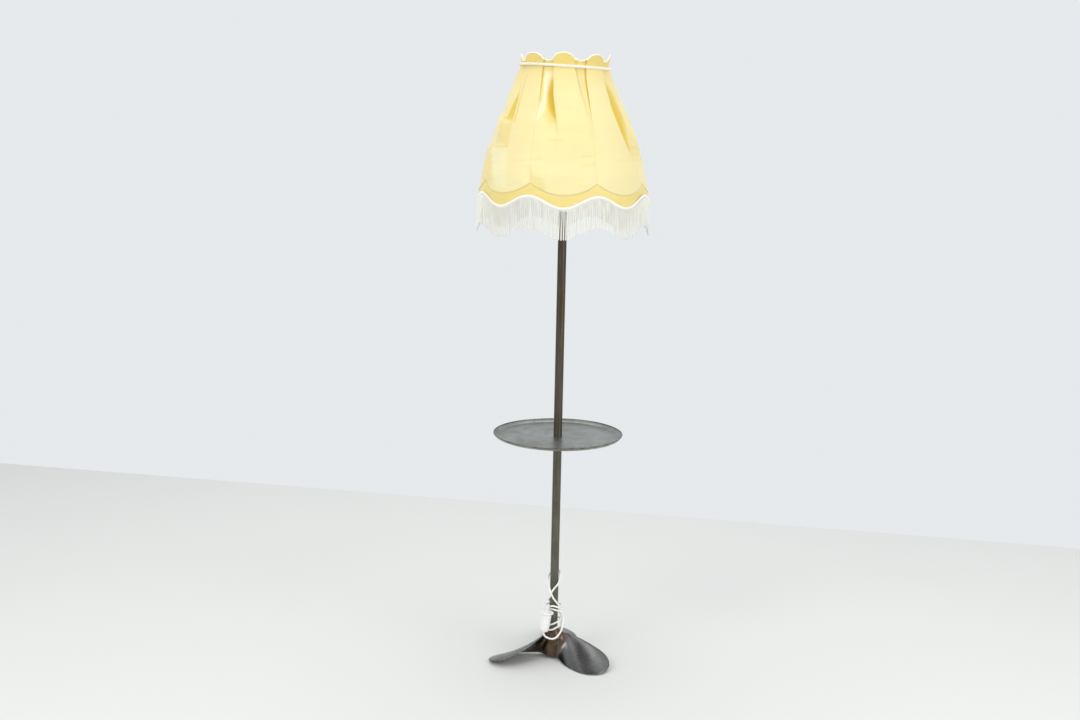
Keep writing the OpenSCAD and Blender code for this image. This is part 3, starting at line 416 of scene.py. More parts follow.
def woven(name, colour, tint, weave=(1400, 900), slub=(35, 900), rough=0.5, sheen=0.35, depth=0.00012, **sockets):
    """Plain silk: fine threads, slubs that run with the weft, faint clouds of colour."""
    f = Finish(name, colour, rough, 0.0, Sheen_Weight=sheen, Sheen_Roughness=0.4, **sockets)
    uv = f.uv()
    warp = f.wave(weave[0] / 6.283, uv, "X")
    weft = f.wave(weave[1] / 6.283, uv, "Y", 1.2, 2)
    slubs = f.span(f.noise(1, 3, 0.6, f.scaled(uv, *slub)), 0.55, 0.8)
    cloud = f.span(f.noise(7, 4, 0.6), 0.35, 0.7)
    c = f.blend(cloud, colour, tint)
    c = f.blend(f.math("MULTIPLY", slubs, 0.35), c, tuple(x * 0.88 for x in tint))
    c = f.blend(f.math("MULTIPLY", warp, 0.12), c, tuple(x * 0.8 for x in colour))
    thread = f.math("ADD", f.math("MULTIPLY", warp, 0.5), f.math("ADD", f.math("MULTIPLY", weft, 0.5), slubs))
    return f.set(**{"Base Color": c, "Roughness": f.span(slubs, 0, 1, rough, rough + 0.12),
                    "Normal": f.bump(thread, depth, 0.5)})


silk = woven("shade_silk", (0.91, 0.77, 0.375), (0.91, 0.75, 0.335), Subsurface_Weight=0.08)
# Painted shade: the silk is darker and more golden in the folds, creases and shaded patches, on the crown above the
# rope and just under it
painted_fold_and_rope_shade = silk.math("MAXIMUM", silk.field("painted_shade"), silk.span(silk.height(), 1.655, 1.668, 0.0, 0.5))
painted_fold_and_rope_shade = silk.math("MAXIMUM", painted_fold_and_rope_shade, silk.math("MULTIPLY", silk.span(silk.height(), 1.60, 1.655), 0.22))
silk_colour_and_painted_light = silk.bsdf.inputs["Base Color"].links[0].from_socket
# Painted light: the silk is lighter towards the bottom of the shade
silk_colour_and_painted_light = silk.blend(silk.span(silk.height(), 1.50, 1.38), silk_colour_and_painted_light, (0.93, 0.80, 0.40))
# Painted highlight: paler silk where the cloth turns to the light
silk_colour_and_painted_light = silk.blend(silk.field("painted_highlight"), silk_colour_and_painted_light, (0.96, 0.90, 0.60))
silk.set(**{"Base Color": silk.blend(painted_fold_and_rope_shade, silk_colour_and_painted_light, (0.77, 0.53, 0.035))})
lining = woven("shade_lining", (0.90, 0.88, 0.80), (0.87, 0.84, 0.74), sheen=0.1)
under_silk = woven("under_silk", (0.86, 0.715, 0.26), (0.84, 0.68, 0.22))
piping = woven("piping", (0.95, 0.91, 0.68), (0.93, 0.88, 0.62), (3000, 3000), rough=0.6)


def yarn(name, colour, tint, rough=0.62, sheen=0.3, grain=1500, **sockets):
    f = Finish(name, colour, rough, 0.0, Sheen_Weight=sheen, Sheen_Roughness=0.5, **sockets)
    fibre = f.noise(grain, 4, 0.7)
    c = f.blend(f.span(f.noise(60, 4), 0.4, 0.7), colour, tint)
    return f.set(**{"Base Color": f.blend(f.math("MULTIPLY", f.span(fibre, 0.5, 0.75), 0.4), c,
                                          tuple(x * 0.78 for x in tint)),
                    "Normal": f.bump(fibre, 0.0002, 0.6)})


rope_cotton = yarn("rope_cotton", (0.92, 0.89, 0.78), (0.9, 0.84, 0.68))
braid_cotton = yarn("braid_cotton", (0.98, 0.97, 0.93), (0.96, 0.94, 0.87))
fringe_rayon = yarn("fringe_rayon", (0.97, 0.945, 0.855), (0.94, 0.90, 0.79), 0.45, 0.5, Subsurface_Weight=0.2)

for names, finish in (
        ("pole", pole_steel), ("tray_collar", collar), ("cord_grommet", rubber), ("holder_insert", porcelain),
        ("hub_washer hub_nut hub_grub_screw pole_foot collar_screw tray_rivets", zinc),
        ("top_bush nipple nipple_nut holder_contacts screw_shell", brass),
        ("holder_cap holder_shell switch_key shade_ring", bakelite), ("bulb_cap bulb_contact", bulb_metal),
        ("bulb_glass", opal), ("bulb_filament", filament), ("inner_lead", cord_skin),
        ("shade_fitter shade_spokes shade_ribs neck_wire lower_wire", frame_wire), ("plug_pins", plug_metal),
        ("plug_body", plug_plastic)):
    for n in names.split():
        NODES[n].data.materials.clear()
        NODES[n].data.materials.append(finish.mat)

# ---------------------------------------------------------------- cast foot

BLADE_R, BLADE_START, BLADE_MID_Z, BLADE_DROOP = 192, 28, 41.2, 34


def chord(s):
    tip = mix(9, 108, np.sqrt(np.maximum(0, 1 - ((s - 0.7) / 0.3) ** 2)))
    return np.where(s < 0.7, 70 + 38 * np.sin(PI / 2 * np.minimum(s, 0.7) / 0.7), tip)


def blade_face(s, u):
    r = mix(BLADE_START, BLADE_R, s)
    slope = np.arctan2(mix(68, 45, s), r)
    half = chord(s) / 2
    turn = u * half * np.cos(slope) / r
    z = BLADE_MID_Z - BLADE_DROOP * s + u * half * np.sin(slope)
    return np.stack([r * np.cos(turn), r * np.sin(turn), z], -1)


HUB = np.array([[33, 10], [34, 14], [32.3, 34.3], [28.6, 55.6], [24.5, 68.5], [19.7, 78.4], [15.5, 86]])
s = np.sin(np.linspace(0, PI / 2, 64))
s = mix(-0.058, 1, s)[:, None]
u = -np.cos(np.linspace(0, PI, 57))[None]
s, u = np.broadcast_arrays(s, u)
face = blade_face(s, u)
step = 0.004
at_s, at_u = np.minimum(s, 0.98), u * 0.98
n = unit(np.cross(blade_face(at_s + step, at_u) - blade_face(at_s - step, at_u),
                  blade_face(at_s, at_u + step) - blade_face(at_s, at_u - step)))
thick = 2.4 + (mix(11, 3.4, s) - 2.4) * np.maximum(0, 1 - u * u) ** 0.75
# The casting swells where a blade meets the hub
reach = np.hypot(face[..., 0], face[..., 1]) - np.interp(face[..., 2], HUB[:, 1], HUB[:, 0])
swell = 7 * np.clip(1 - reach / 17, 0, 1) ** 2.6
face = face - n * swell[..., None] * 0.8
back = face + n * (thick + swell * 1.8)[..., None]
rows, cols = s.shape
verts = np.concatenate([back.reshape(-1, 3), face.reshape(-1, 3)])
total = rows * cols
faces = [tuple(f) for f in quads(rows, cols, flip=True)] + [tuple(f) for f in quads(rows, cols, start=total)]
ring = ([(0, j) for j in range(cols)] + [(i, cols - 1) for i in range(1, rows)]
        + [(rows - 1, j) for j in range(cols - 2, -1, -1)] + [(i, 0) for i in range(rows - 2, 0, -1)])
ring = [i * cols + j for i, j in ring]
faces += [(a, b, b + total, a + total) for a, b in zip(ring, ring[1:] + ring[:1])]
parts = []
for k in range(3):
    a = math.radians(-38.5 + 120 * k)
    spin = np.array([[math.cos(a), math.sin(a), 0], [-math.sin(a), math.cos(a), 0], [0, 0, 1]])
    parts.append((verts @ spin, faces))
bore = 12.15
section = [[bore, 85.2], [13, 86], [15, 86], [16.2, 85.3], [18, 82], [19.9, 78.2], [22.2, 73.4], [24.4, 68.5],
           [26.7, 62], [28.6, 55.6], [30.7, 45], [32.3, 34.3], [33.5, 24], [34, 15], [33.6, 11.4], [32, 10],
           [18, 10], [17, 11], [17, 24], [6.5, 24], [6.5, 40], [bore, 40]]
section = np.array(section)
parts.append(turned(section, 120))
verts, faces = joined(parts)
casting = put("casting_raw", verts * MM, faces, finish=bronze)
mod = casting.modifiers.new("cast", "REMESH")
mod.mode = "VOXEL"
mod.voxel_size = 0.00125
mod.use_smooth_shade = True
mod = casting.modifiers.new("ease", "SMOOTH")
mod.factor = 0.5
mod.iterations = 3
bpy.context.view_layer.update()
mesh = bpy.data.meshes.new_from_object(casting.evaluated_get(bpy.context.evaluated_depsgraph_get()))
bpy.data.objects.remove(casting)
co = np.empty(len(mesh.vertices) * 3)
mesh.vertices.foreach_get("co", co)
co = co.reshape(-1, 3)
co[:, 2] = np.maximum(co[:, 2], 0.0)
mesh.vertices.foreach_set("co", co.ravel())
mesh.update()
casting = bpy.data.objects.new("foot_casting", mesh)
scene.collection.objects.link(casting)
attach(casting, "stand")
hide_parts("propeller")

# ---------------------------------------------------------------- tray

TRAY_Z, R, RIM_W, RIM_H, BEAD = 653, 181.5, 17, 10, 1.5
foot_r = R - RIM_W
rise, run_out = RIM_H - BEAD + 1, R - BEAD - foot_r
slope = 2 * math.atan2(rise, run_out)
bend = run_out / math.sin(slope)


def lip(r, a):
    return [foot_r + r * math.sin(a), TRAY_Z - 1 + bend - r * math.cos(a)]


arc = np.linspace(0, slope, 14)
end_r, end_z = lip(bend, slope)
profile = [[12.1, TRAY_Z - 2], [120, TRAY_Z - 2]] + [lip(bend + 1, a) for a in arc[:-1]]
profile += [[end_r + BEAD * math.cos(a), end_z + BEAD * math.sin(a)]
            for a in np.linspace(slope - 1.35, slope + 3.6, 14)]
profile += [lip(bend - 1, a) for a in arc[:-1][::-1]] + [[150, TRAY_Z], [90, TRAY_Z], [12.1, TRAY_Z]]
profile = np.array(profile)
verts, faces = turned(profile[::-1], 256)
a = np.arctan2(verts[:, 1], verts[:, 0])
r = np.hypot(verts[:, 0], verts[:, 1])
wobble = np.clip((r - 160) / 20, 0, 1)
verts[:, 2] += wobble * (0.3 * np.sin(2 * a + 0.6) + 0.2 * np.sin(5 * a + 2))
verts[:, :2] *= (1 + wobble * 0.0007 * np.sin(9 * a + 1))[:, None]
on_bead = [math.hypot(math.hypot(*verts[f[0]][:2]) - end_r, verts[f[0]][2] - end_z) < BEAD + 0.7 for f in faces]
picks = [1 if bead else 0 for bead in on_bead]
tray = put("tray_sheet", verts * MM, faces, [tray_steel, rim_steel], picks=picks)
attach(tray, "stand")
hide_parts("tray", "tray_rim")

# ---------------------------------------------------------------- shade cloth

NECK_Z, NECK_R, HEM_Z, HEM_R, BRAID_Z = 1664, 113.5, 1337, 230.5, 1300.5
CLOTH_T, LOBE_H, VALLEY_H, BAND_H = 0.8, 20, 3.2, 86
DROP = NECK_Z - HEM_Z
PITCH = 45.0
CURVE = np.array([[-0.2, 0.0], [0, 0], [0.11, 0.15], [0.27, 0.33], [0.43, 0.555], [0.59, 0.735],
                  [0.75, 0.85], [0.91, 0.95], [1, 1], [1.12, 1.03]])


def curve_share(t):
    """The table's curve, eased at its corners."""
    return sum(np.interp(t + d, CURVE[:, 0], CURVE[:, 1]) for d in (-0.05, -0.025, 0, 0.025, 0.05)) / 5


def cloth_r(z):
    return mix(NECK_R, HEM_R, curve_share((NECK_Z - z) / DROP))


def wave(a):
    return 30 * np.sin((a + PI / 2) * 4) ** 2


def smoothstep(x, a, b):
    t = np.clip((x - a) / (b - a), 0, 1)
    return t * t * (3 - 2 * t)


# The two folds beside a seam from the crown down: height, directions of the left and of the right fold's
# edge from the seam in degrees, and how deep the cloth lies under each of them in millimetres
TUCKED = [[1700, -9, 4, 5, 7], [1660, -9.3, 6.2, 3.5, 4.5], [1640, -7.8, 7.4, 3.5, 7], [1620, -6.4, 8.9, 3, 11],
          [1587, -4.6, 10.4, 2.6, 16], [1555, -3.6, 13.4, 2, 15], [1533, -3.2, 15, 1.6, 10],
          [1512, -2.9, 16.4, 1.2, 4], [1492, -2.6, 17, 1, 0.6],
          [1440, -1.6, 17, 0.9, 0], [1367, -0.2, 17, 0.8, 0], [1330, 0, 17, 0.8, 0]]
BOXED = [[1700, -11.8, 7, 6, 6], [1655, -11.4, 4, 4, 4.5], [1638, -10, 2.4, 5.5, 6], [1605, -7.8, 2.2, 6, 6.5],
         [1573, -4.4, 2, 4.6, 5], [1537, -2.1, 0.9, 2.4, 2.2], [1473, -1.5, 0.7, 1.2, 0.6],
         [1367, -0.6, 0.5, 0.9, 0.3], [1330, -0.3, 0.5, 0.8, 0.3]]
LONG = [[1700, -9, 3, 6, 3], [1668, -12, 1, 4, 3], [1650, -15.5, 0, 7, 4], [1637, -17.1, 1, 10, 6],
        [1591, -18.2, 6, 16, 9], [1539, -19.4, 7, 18, 10], [1500, -17.3, 8, 16, 7.5], [1461, -13.9, 9, 12, 4.2],
        [1411, -8, 8, 7, 1.6], [1378, -3.1, 6, 3.4, 0.8], [1345, -0.5, 4, 1.2, 0.4]]
SAGGED = [[1700, -7, 0, 4, 7], [1672, -6, 2.2, 3.5, 5], [1657, -5, 4, 3.5, 5], [1638, -4, 6, 4, 7],
          [1610, -3, 9.3, 6, 8], [1573, -3, 13.3, 7, 10], [1548, -3, 16, 7, 10], [1530, -2, 17.6, 6, 8],
          [1518, 4, 18, 3, 3], [1506, 6, 18, 1, 0.5], [1480, 4, 18, 1, 0], [1440, 0, 17, 0.9, 0],
          [1367, -0.2, 17, 0.8, 0], [1330, 0, 17, 0.8, 0]]


def seen_from_behind(folds):
    """The same folds with left and right exchanged."""
    return [[z, -right_, -left_, deep_r, deep_l] for z, left_, right_, deep_l, deep_r in folds]


# Seam 0 lies right of the front panel, and the others follow anticlockwise. A fold tucks under its edge,
# or slopes up to it over some degrees: those of the left and the right fold
SEAMS = [(BOXED, 0, 0), (LONG, 0, 9), (seen_from_behind(SAGGED), 0, 8), (TUCKED, 0, 0),
         (seen_from_behind(BOXED), 0, 0), (seen_from_behind(TUCKED), 0, 0), (SAGGED, 8, 0), (TUCKED, 0, 0)]


def fold_values(k, z):
    """Both folds of a seam at some heights, eased between the table's rows."""
    table = np.array(SEAMS[k][0], float)[::-1]
    return [sum(np.interp(z + d, table[:, 0], table[:, i]) for d in (-9, -4.5, 0, 4.5, 9)) / 5 for i in range(1, 5)]


def softness(P):
    return ripple(P * [1, 1, 2.6], 0.011, 3.1) * 1.4 + ripple(P * [1, 1, 4.5], 0.03, 8.0) * 0.45


# Across one seam, from the middle of the panel at its left to that of the panel at its right
flat_part = np.linspace(0, 1, 21)
turn_part = np.linspace(0, 1, 11)
rows_up, rows_down = 14, 100
down = np.concatenate([-np.linspace(1, 0, rows_up, endpoint=False), np.linspace(0, 1, rows_down)])[:, None]
LOBE_MORE = [0, -3, 0, -2, 1, -1, 0, 0]


def seam_section(k, z):
    """Offsets in degrees, depths in millimetres and lines of painted shade along the fold edges, for the columns
    across a seam, at some heights.
    """
    left_, right_, deep_l, deep_r = fold_values(k, z)
    room = 3.2 + 0.5 * np.maximum(0, np.abs(z - NECK_Z) - 4)               # the neck wire lies behind
    deep_l, deep_r = np.minimum(deep_l, room), np.minimum(deep_r, room)
    slope_l, slope_r = SEAMS[k][1:]
    tuck_l, tuck_r = (np.minimum(0.38 * d, 5.5) - 1.6 * np.exp(-d) for d in (deep_l, deep_r))
    under_l = -slope_l if slope_l else np.degrees(tuck_l / cloth_r(z))
    under_r = -slope_r if slope_r else np.degrees(tuck_r / cloth_r(z))
    round_l = 0 if slope_l else 0.45 * np.minimum(1, deep_l / 5)
    round_r = 0 if slope_r else 0.45 * np.minimum(1, deep_r / 5)
    q = turn_part[1:]
    fall = (1 - np.cos(PI * q)) / 2
    bulge = np.sin(PI * np.minimum(q * 1.6, 1))
    inset = np.linspace(0, 1, 15)[1:-1]
    sink = inset * inset * (3 - 2 * inset)
    l0, r0 = left_ - under_l, right_ + under_r
    offset = np.concatenate([
        mix(-PITCH / 2, left_, flat_part), left_ + round_l * bulge - under_l * fall ** 1.3,
        mix(l0, r0, inset), (right_ - round_r * bulge + under_r * fall ** 1.3)[:, ::-1],
        mix(right_, PITCH / 2, flat_part)[:, :-1]], 1)
    dent = np.concatenate([
        0 * flat_part + 0 * z, deep_l * fall, mix(deep_l, deep_r, sink), (deep_r * fall)[:, ::-1],
        0 * flat_part[:-1] + 0 * z], 1)
    high = smoothstep(z, 1535, 1585)
    line_l = 0 * z if slope_l else smoothstep(deep_l, 1.2, 3) * high
    line_r = 0 * z if slope_r else smoothstep(deep_r, 1.2, 3) * high
    grown = smoothstep(q, 0.1, 0.6)
    fade = np.exp(-(np.arange(len(inset)) / 1.6) ** 2)
    line = np.concatenate([
        0 * flat_part + 0 * z, line_l * grown, line_l * fade + line_r * fade[::-1], (line_r * grown)[:, ::-1],
        0 * flat_part[:-1] + 0 * z], 1)
    return offset, dent, line


def crown_line(k):
    """Height of the crown's edge above its valleys, for the columns across a seam."""
    top = np.array([[NECK_Z + 30.0]])
    offset = seam_section(k, top)[0][0]
    left_, right_ = (v[0, 0] for v in fold_values(k, top)[:2])
    before = fold_values((k - 1) % 8, top)[1][0, 0] - PITCH
    after = fold_values((k + 1) % 8, top)[0][0, 0] + PITCH
    t = np.where(offset < (left_ + right_) / 2, (left_ - offset) / (left_ - before) * 2,
                 (offset - right_) / (after - right_) * 2)
    lobe = LOBE_H * np.maximum(0, 1 - np.abs(0.97 * (1 - np.clip(t, 0, 2))) ** 2.3) ** 0.62
    valley = VALLEY_H * np.abs((offset - (left_ + right_) / 2) / ((right_ - left_) / 2)).clip(0, 1) ** 1.5
    panel = np.where(offset < (left_ + right_) / 2, k, (k + 1) % 8)
    share = 1 + np.array(LOBE_MORE)[panel] / LOBE_H
    return np.where((offset > left_) & (offset < right_), valley, np.maximum(lobe * share, VALLEY_H))


offsets, dents, lines, heights, seam_turn = [], [], [], [], []
for k in range(8):
    low_offset = seam_section(k, np.array([[HEM_Z + 14.0]]))[0][0]
    from_middle = 1 - np.abs(low_offset) / (PITCH / 2)
    hem_edge = HEM_Z + 29 * from_middle ** 2
    crown_edge = NECK_Z + 14 + crown_line(k)
    z = np.where(down < 0, NECK_Z - down * (crown_edge - NECK_Z), NECK_Z - down * (NECK_Z - hem_edge))
    offset, dent, line = (np.empty_like(z) for _ in range(3))
    for c in range(z.shape[1]):
        for whole, part in zip((offset, dent, line), seam_section(k, z[:, c:c + 1])):
            whole[:, c] = part[:, c]
    offsets.append(offset)
    dents.append(dent)
    lines.append(line)
    heights.append(z)
    seam_turn.append(np.full(z.shape[1], -67.5 + PITCH * k))
offset, dent, line, z = (np.concatenate(v, 1) for v in (offsets, dents, lines, heights))
angle = np.radians(offset + np.concatenate(seam_turn))
radius = cloth_r(z) - dent
# The cloth flares above the rope, bellies just below it and is drawn in under it
radius += 3.2 * smoothstep(z, NECK_Z + 4, NECK_Z + 26)
radius += 1.6 * np.exp(-((z - NECK_Z + 16) / 9) ** 2) * np.clip(1 - dent / 4, 0, 1)
radius -= 0.6 * np.exp(-((z - NECK_Z - 2) / 5) ** 2)
out = np.stack([np.cos(angle), np.sin(angle), 0 * angle], -1)
P = out * radius[..., None] + z[..., None] * np.array([0, 0, 1.0])
x = 1 - np.abs(offset) / (PITCH / 2)
share = (NECK_Z - z) / DROP
# Panels are a little crowned between their seams, most at mid height
crowned = 1.8 * np.sin(PI * np.clip(share, 0, 1)) * (1 - x * x)
soft = softness(P)
near_seam = smoothstep(x, 0.25, 0.9) * smoothstep(share, 0.35, 0.8)
crease = ripple(P * [0.7, 0.7, 5.5], 0.03, 21.0) * 0.95 * near_seam
pulled = ripple(P * [3.4, 3.4, 0.25], 0.04, 33.0) * 0.9 * np.exp(-((share - 0.13) / 0.12) ** 2)
pulled = pulled * smoothstep(dent, 1, 4)
amount = smoothstep(NECK_Z - z, 5, 80) * 0.9 + 0.1
# At the left the cloth stands out under the rope
turn = (np.degrees(angle) - 182 + 180) % 360 - 180
bulge = 7 * np.exp(-(turn / 22) ** 2) * smoothstep(z, 1545, 1610) * (1 - 0.35 * smoothstep(z, 1668, 1700))
right_turn = (np.degrees(angle) + 180) % 360 - 180
drawn_in = 2.5 * np.exp(-(right_turn / 14) ** 2) * smoothstep(z, 1340, 1440) * smoothstep(-z, -1690, -1640)
P = P + out * ((crowned + soft * amount + crease + pulled + bulge - drawn_in)[..., None])


# Two creases across the pleat at the far left, where the cloth sags over itself
def sag(z0, high, turn, wide, deep):
    side = np.exp(-((np.degrees(angle) - turn + 180) % 360 - 180) ** 2 / (2 * wide ** 2))
    return side * deep * smoothstep(-P[..., 2], -(z0 + high), -z0) * (1 - smoothstep(-P[..., 2], -z0, -(z0 - 5)))


P = P - out * (sag(1532, 34, -160, 8, 3.5) + sag(1461, 64, -164, 15, 6.5))[..., None]

# Marks on the cloth, seen from the front, with corners as [direction in degrees, height].
# Creases: half width, depth, painted shade, way. Patches of painted shade, for cloth that is doubled or turned away
# from the light: painted shade, soft edge, corners. Painted highlights, for cloth that catches the light: strength,
# soft edge, corners
CREASES = [
    (2.2, 1.0, 0.75, [(-144.4, 1640), (-141.5, 1586), (-136.6, 1520)]),
    (2.0, 0.8, 0.35, [(-119.2, 1640), (-116.4, 1573)]),
    (1.8, 1.2, 0.55, [(-165, 1533), (-152, 1527), (-139, 1520)]),
    (2.0, 1.4, 0.6, [(-168, 1459), (-150, 1454), (-137, 1456)]),
    (1.6, 0.9, 0.5, [(-72.3, 1652), (-70.5, 1625), (-68.6, 1606)]),
    (1.8, 0.8, 0.4, [(-76.5, 1640), (-73.6, 1595), (-70.1, 1540)]),
    (2.0, 0.9, 0.3, [(-101.6, 1479), (-95.8, 1474.5), (-91.1, 1477.4)]),
    (2.0, 0.9, 0.3, [(-112, 1424), (-106, 1429)]),
    (2.0, 0.9, 0.28, [(-77.5, 1433), (-69.7, 1438)]),
    (2.0, 0.8, 0.25, [(-78, 1411), (-68.2, 1416)]),
    (2.4, 0.8, 0.2, [(-110.5, 1390), (-101.5, 1387)]),
    (2.4, 1.0, 0.3, [(-35.6, 1451), (-22, 1456), (-9.3, 1455)]),
]
PAINTED_SHADE_PATCHES = [(0.32, 9, [(-160.8, 1521), (-138.8, 1518.6), (-135.9, 1458), (-158.7, 1461)]),
           (0.95, 4, [(-149, 1622), (-143, 1565), (-140.5, 1524), (-157, 1526), (-155.5, 1560)]),
           (0.4, 9, [(-104, 1625), (-99.4, 1561), (-96.5, 1522), (-102.7, 1512), (-109, 1536)]),
           (0.3, 15, [(-182, 1453), (-162.4, 1452), (-153, 1403), (-145, 1352), (-172, 1352)]),
           (0.3, 9, [(-113.4, 1409), (-111, 1406), (-104.8, 1377), (-96.9, 1358), (-104.3, 1344), (-113, 1355)]),
           (0.27, 17, [(-38.5, 1545), (-24, 1525), (-14, 1467), (-12, 1427), (-31.9, 1434), (-37.3, 1493)])]
PAINTED_HIGHLIGHTS = [(0.9, 8, [(-118.2, 1650), (-106.2, 1650), (-105.6, 1587), (-111.5, 1548), (-114.6, 1521), (-116.4, 1580)]),
        (0.4, 11, [(-160, 1452), (-135.4, 1452), (-130.5, 1351), (-139.3, 1352), (-148.1, 1387)])]

turn = (np.degrees(angle) + 360) % 360 - 360
turn = np.where(turn < -200, turn + 360, turn)


def unrolled(places):
    """Some places and the whole cloth, laid out flat in millimetres round the places' height."""
    places = np.array(places, float)
    around = math.radians(1) * cloth_r(places[:, 1].mean())
    return places * [around, 1], np.stack([turn * around, z], -1)


def on_line(way, half):
    """One on a line over the cloth, down to nothing beside it."""
    way, spread = unrolled(way)
    near = np.full(z.shape, 1e9)
    for a, b in zip(way, way[1:]):
        t = np.clip(((spread - a) @ (b - a)) / (b - a).dot(b - a), 0, 1)
        near = np.minimum(near, np.linalg.norm(spread - a - t[..., None] * (b - a), axis=-1))
    return np.exp(-(near / half) ** 2)


def on_patch(corners, edge):
    """One inside a convex patch of the cloth, its corners given clockwise, and nothing outside it."""
    corners, spread = unrolled(corners[::-1])
    inside = np.full(z.shape, 1e9)
    for a, b in zip(corners, np.roll(corners, -1, 0)):
        side = (b - a) / np.linalg.norm(b - a)
        inside = np.minimum(inside, (spread - a)[..., 1] * side[0] - (spread - a)[..., 0] * side[1])
    return smoothstep(inside, -edge, edge)


# Painted shade: the cloth is darker and more golden deep in the folds and along their edges, in the creases and over
# the patches
painted_shade = np.maximum(smoothstep(dent, 5, 11), 0.8 * np.clip(line, 0, 1))
for half, low, tint, way in CREASES:
    mark = on_line(way, half)
    P = P - out * (low * mark)[..., None]
    painted_shade = np.maximum(painted_shade, tint * mark)
for tint, edge, corners in PAINTED_SHADE_PATCHES:
    painted_shade = np.maximum(painted_shade, tint * on_patch(corners, edge))
painted_highlight = np.zeros(z.shape)
for tint, edge, corners in PAINTED_HIGHLIGHTS:
    painted_highlight = np.maximum(painted_highlight, tint * on_patch(corners, edge))
painted_highlight = painted_highlight * (1 - painted_shade)


def shell(P, thick, closed=True):
    """A sheet's outer grid, its inner grid and their rims, with the finish's number and the cloth's own axes."""
    rows, cols = P.shape[:2]
    dv = np.gradient(P, axis=0)
    du = (np.roll(P, -1, 1) - np.roll(P, 1, 1)) if closed else np.gradient(P, axis=1)
    n = unit(np.cross(dv, du))
    outside = (n * P * [1, 1, 0]).sum(-1, keepdims=True)
    n = n * np.where(np.median(outside) < 0, -1, 1)
    back = P - n * thick
    total = rows * cols
    faces = np.concatenate([quads(rows, cols, closed), quads(rows, cols, closed, total, flip=True)])
    rim = []
    for base in (0, (rows - 1) * cols):
        for j in range(cols if closed else cols - 1):
            k = (j + 1) % cols
            quad = (base + j, base + k, base + k + total, base + j + total)
            rim.append(quad if base == 0 else quad[::-1])
    step_u = np.linalg.norm(np.roll(P, -1, 1) - P, axis=-1)
    step_v = np.linalg.norm(np.diff(P, axis=0, prepend=P[:1]), axis=-1)
    U = np.cumsum(step_u.mean(0))[None].repeat(rows, 0)
    V = np.cumsum(step_v, 0)
    uv = np.stack([U, V], -1).reshape(-1, 2) * MM
    picks = [0] * (len(faces) // 2) + [1] * (len(faces) // 2) + [0] * len(rim)
    return (np.concatenate([P.reshape(-1, 3), back.reshape(-1, 3)]),
            [tuple(f) for f in faces] + rim, picks, np.concatenate([uv, uv]), n)


verts, faces, picks, uvs, n = shell(P, CLOTH_T)
shade = put("shade_cloth", verts * MM, faces, [silk, lining], picks=picks, uvs=uvs,
            fields={"painted_shade": np.tile(painted_shade.ravel(), 2), "painted_highlight": np.tile(painted_highlight.ravel(), 2)})
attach(shade, "shade")
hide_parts(*[f"shade_panel_{k}" for k in range(1, 9)])

# Narrow rolled hems: ivory along the crown, the cloth's own colour along the scallops
edge_top = P[0] + np.array([0, 0, 0.6])
verts, faces = tube(edge_top, 1.7, 8, closed=True)
crown_piping = put("crown_piping", verts * MM, faces, piping)
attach(crown_piping, "shade")
verts, faces = tube(P[-1] + out[-1] * -0.55, 0.5, 6, closed=True)
hem_roll = put("hem_roll", verts * MM, faces, silk)
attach(hem_roll, "shade")

# ---------------------------------------------------------------- under layer

a = np.linspace(0, 2 * PI, 480, endpoint=False) - PI / 2
low = BRAID_Z + wave(a) + 0.5
t = np.linspace(0, 1, 26)[:, None]
z = mix(BRAID_Z + BAND_H + 0 * a, low, t)
radius = np.minimum(cloth_r(z) - 1.05, 232)
Q = np.stack([radius * np.cos(a), radius * np.sin(a), z], -1)
out_q = np.stack([np.cos(a), np.sin(a), 0 * a], -1)[None]
gather = ripple(Q * [1, 1, 0.35], 0.035, 5.0) * 0.9 + ripple(Q * [1, 1, 2.5], 0.02, 15.0) * 0.7
free = smoothstep(-z, -1346, -1322)
Q = Q + out_q * ((gather - 0.3) * mix(0.12, 1, free) + softness(Q))[..., None]
verts, faces, picks, uvs, _ = shell(Q, CLOTH_T)
band = put("under_band", verts * MM, faces, [under_silk, lining], picks=picks, uvs=uvs)
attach(band, "shade")
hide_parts("hem_band")

# ---------------------------------------------------------------- rope

ROPE_Z = NECK_Z + 1.75
a = np.linspace(0, 2 * PI, 900, endpoint=False)
ROPE_R = NECK_R + 3.8 + 6 * np.exp(-((a - PI) / 0.55) ** 2)
tilt = -4.6 * np.cos(a) + 0.8 * np.sin(2 * a + 1)
centre_line = np.stack([ROPE_R * np.cos(a), ROPE_R * np.sin(a), ROPE_Z + tilt], -1)
out_a = np.stack([np.cos(a), np.sin(a), 0 * a], -1)
parts = []
for k in range(3):
    lay = 60 * a + k * 2 * PI / 3
    strand = centre_line + 1.9 * (np.cos(lay)[:, None] * out_a + np.sin(lay)[:, None] * np.array([0, 0, 1.0]))
    parts.append(tube(strand, 2.05, 7, closed=True))
verts, faces = joined(parts)
rope = put("neck_rope_laid", verts * MM, faces, rope_cotton)
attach(rope, "shade")
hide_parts("neck_rope")

# ---------------------------------------------------------------- braid

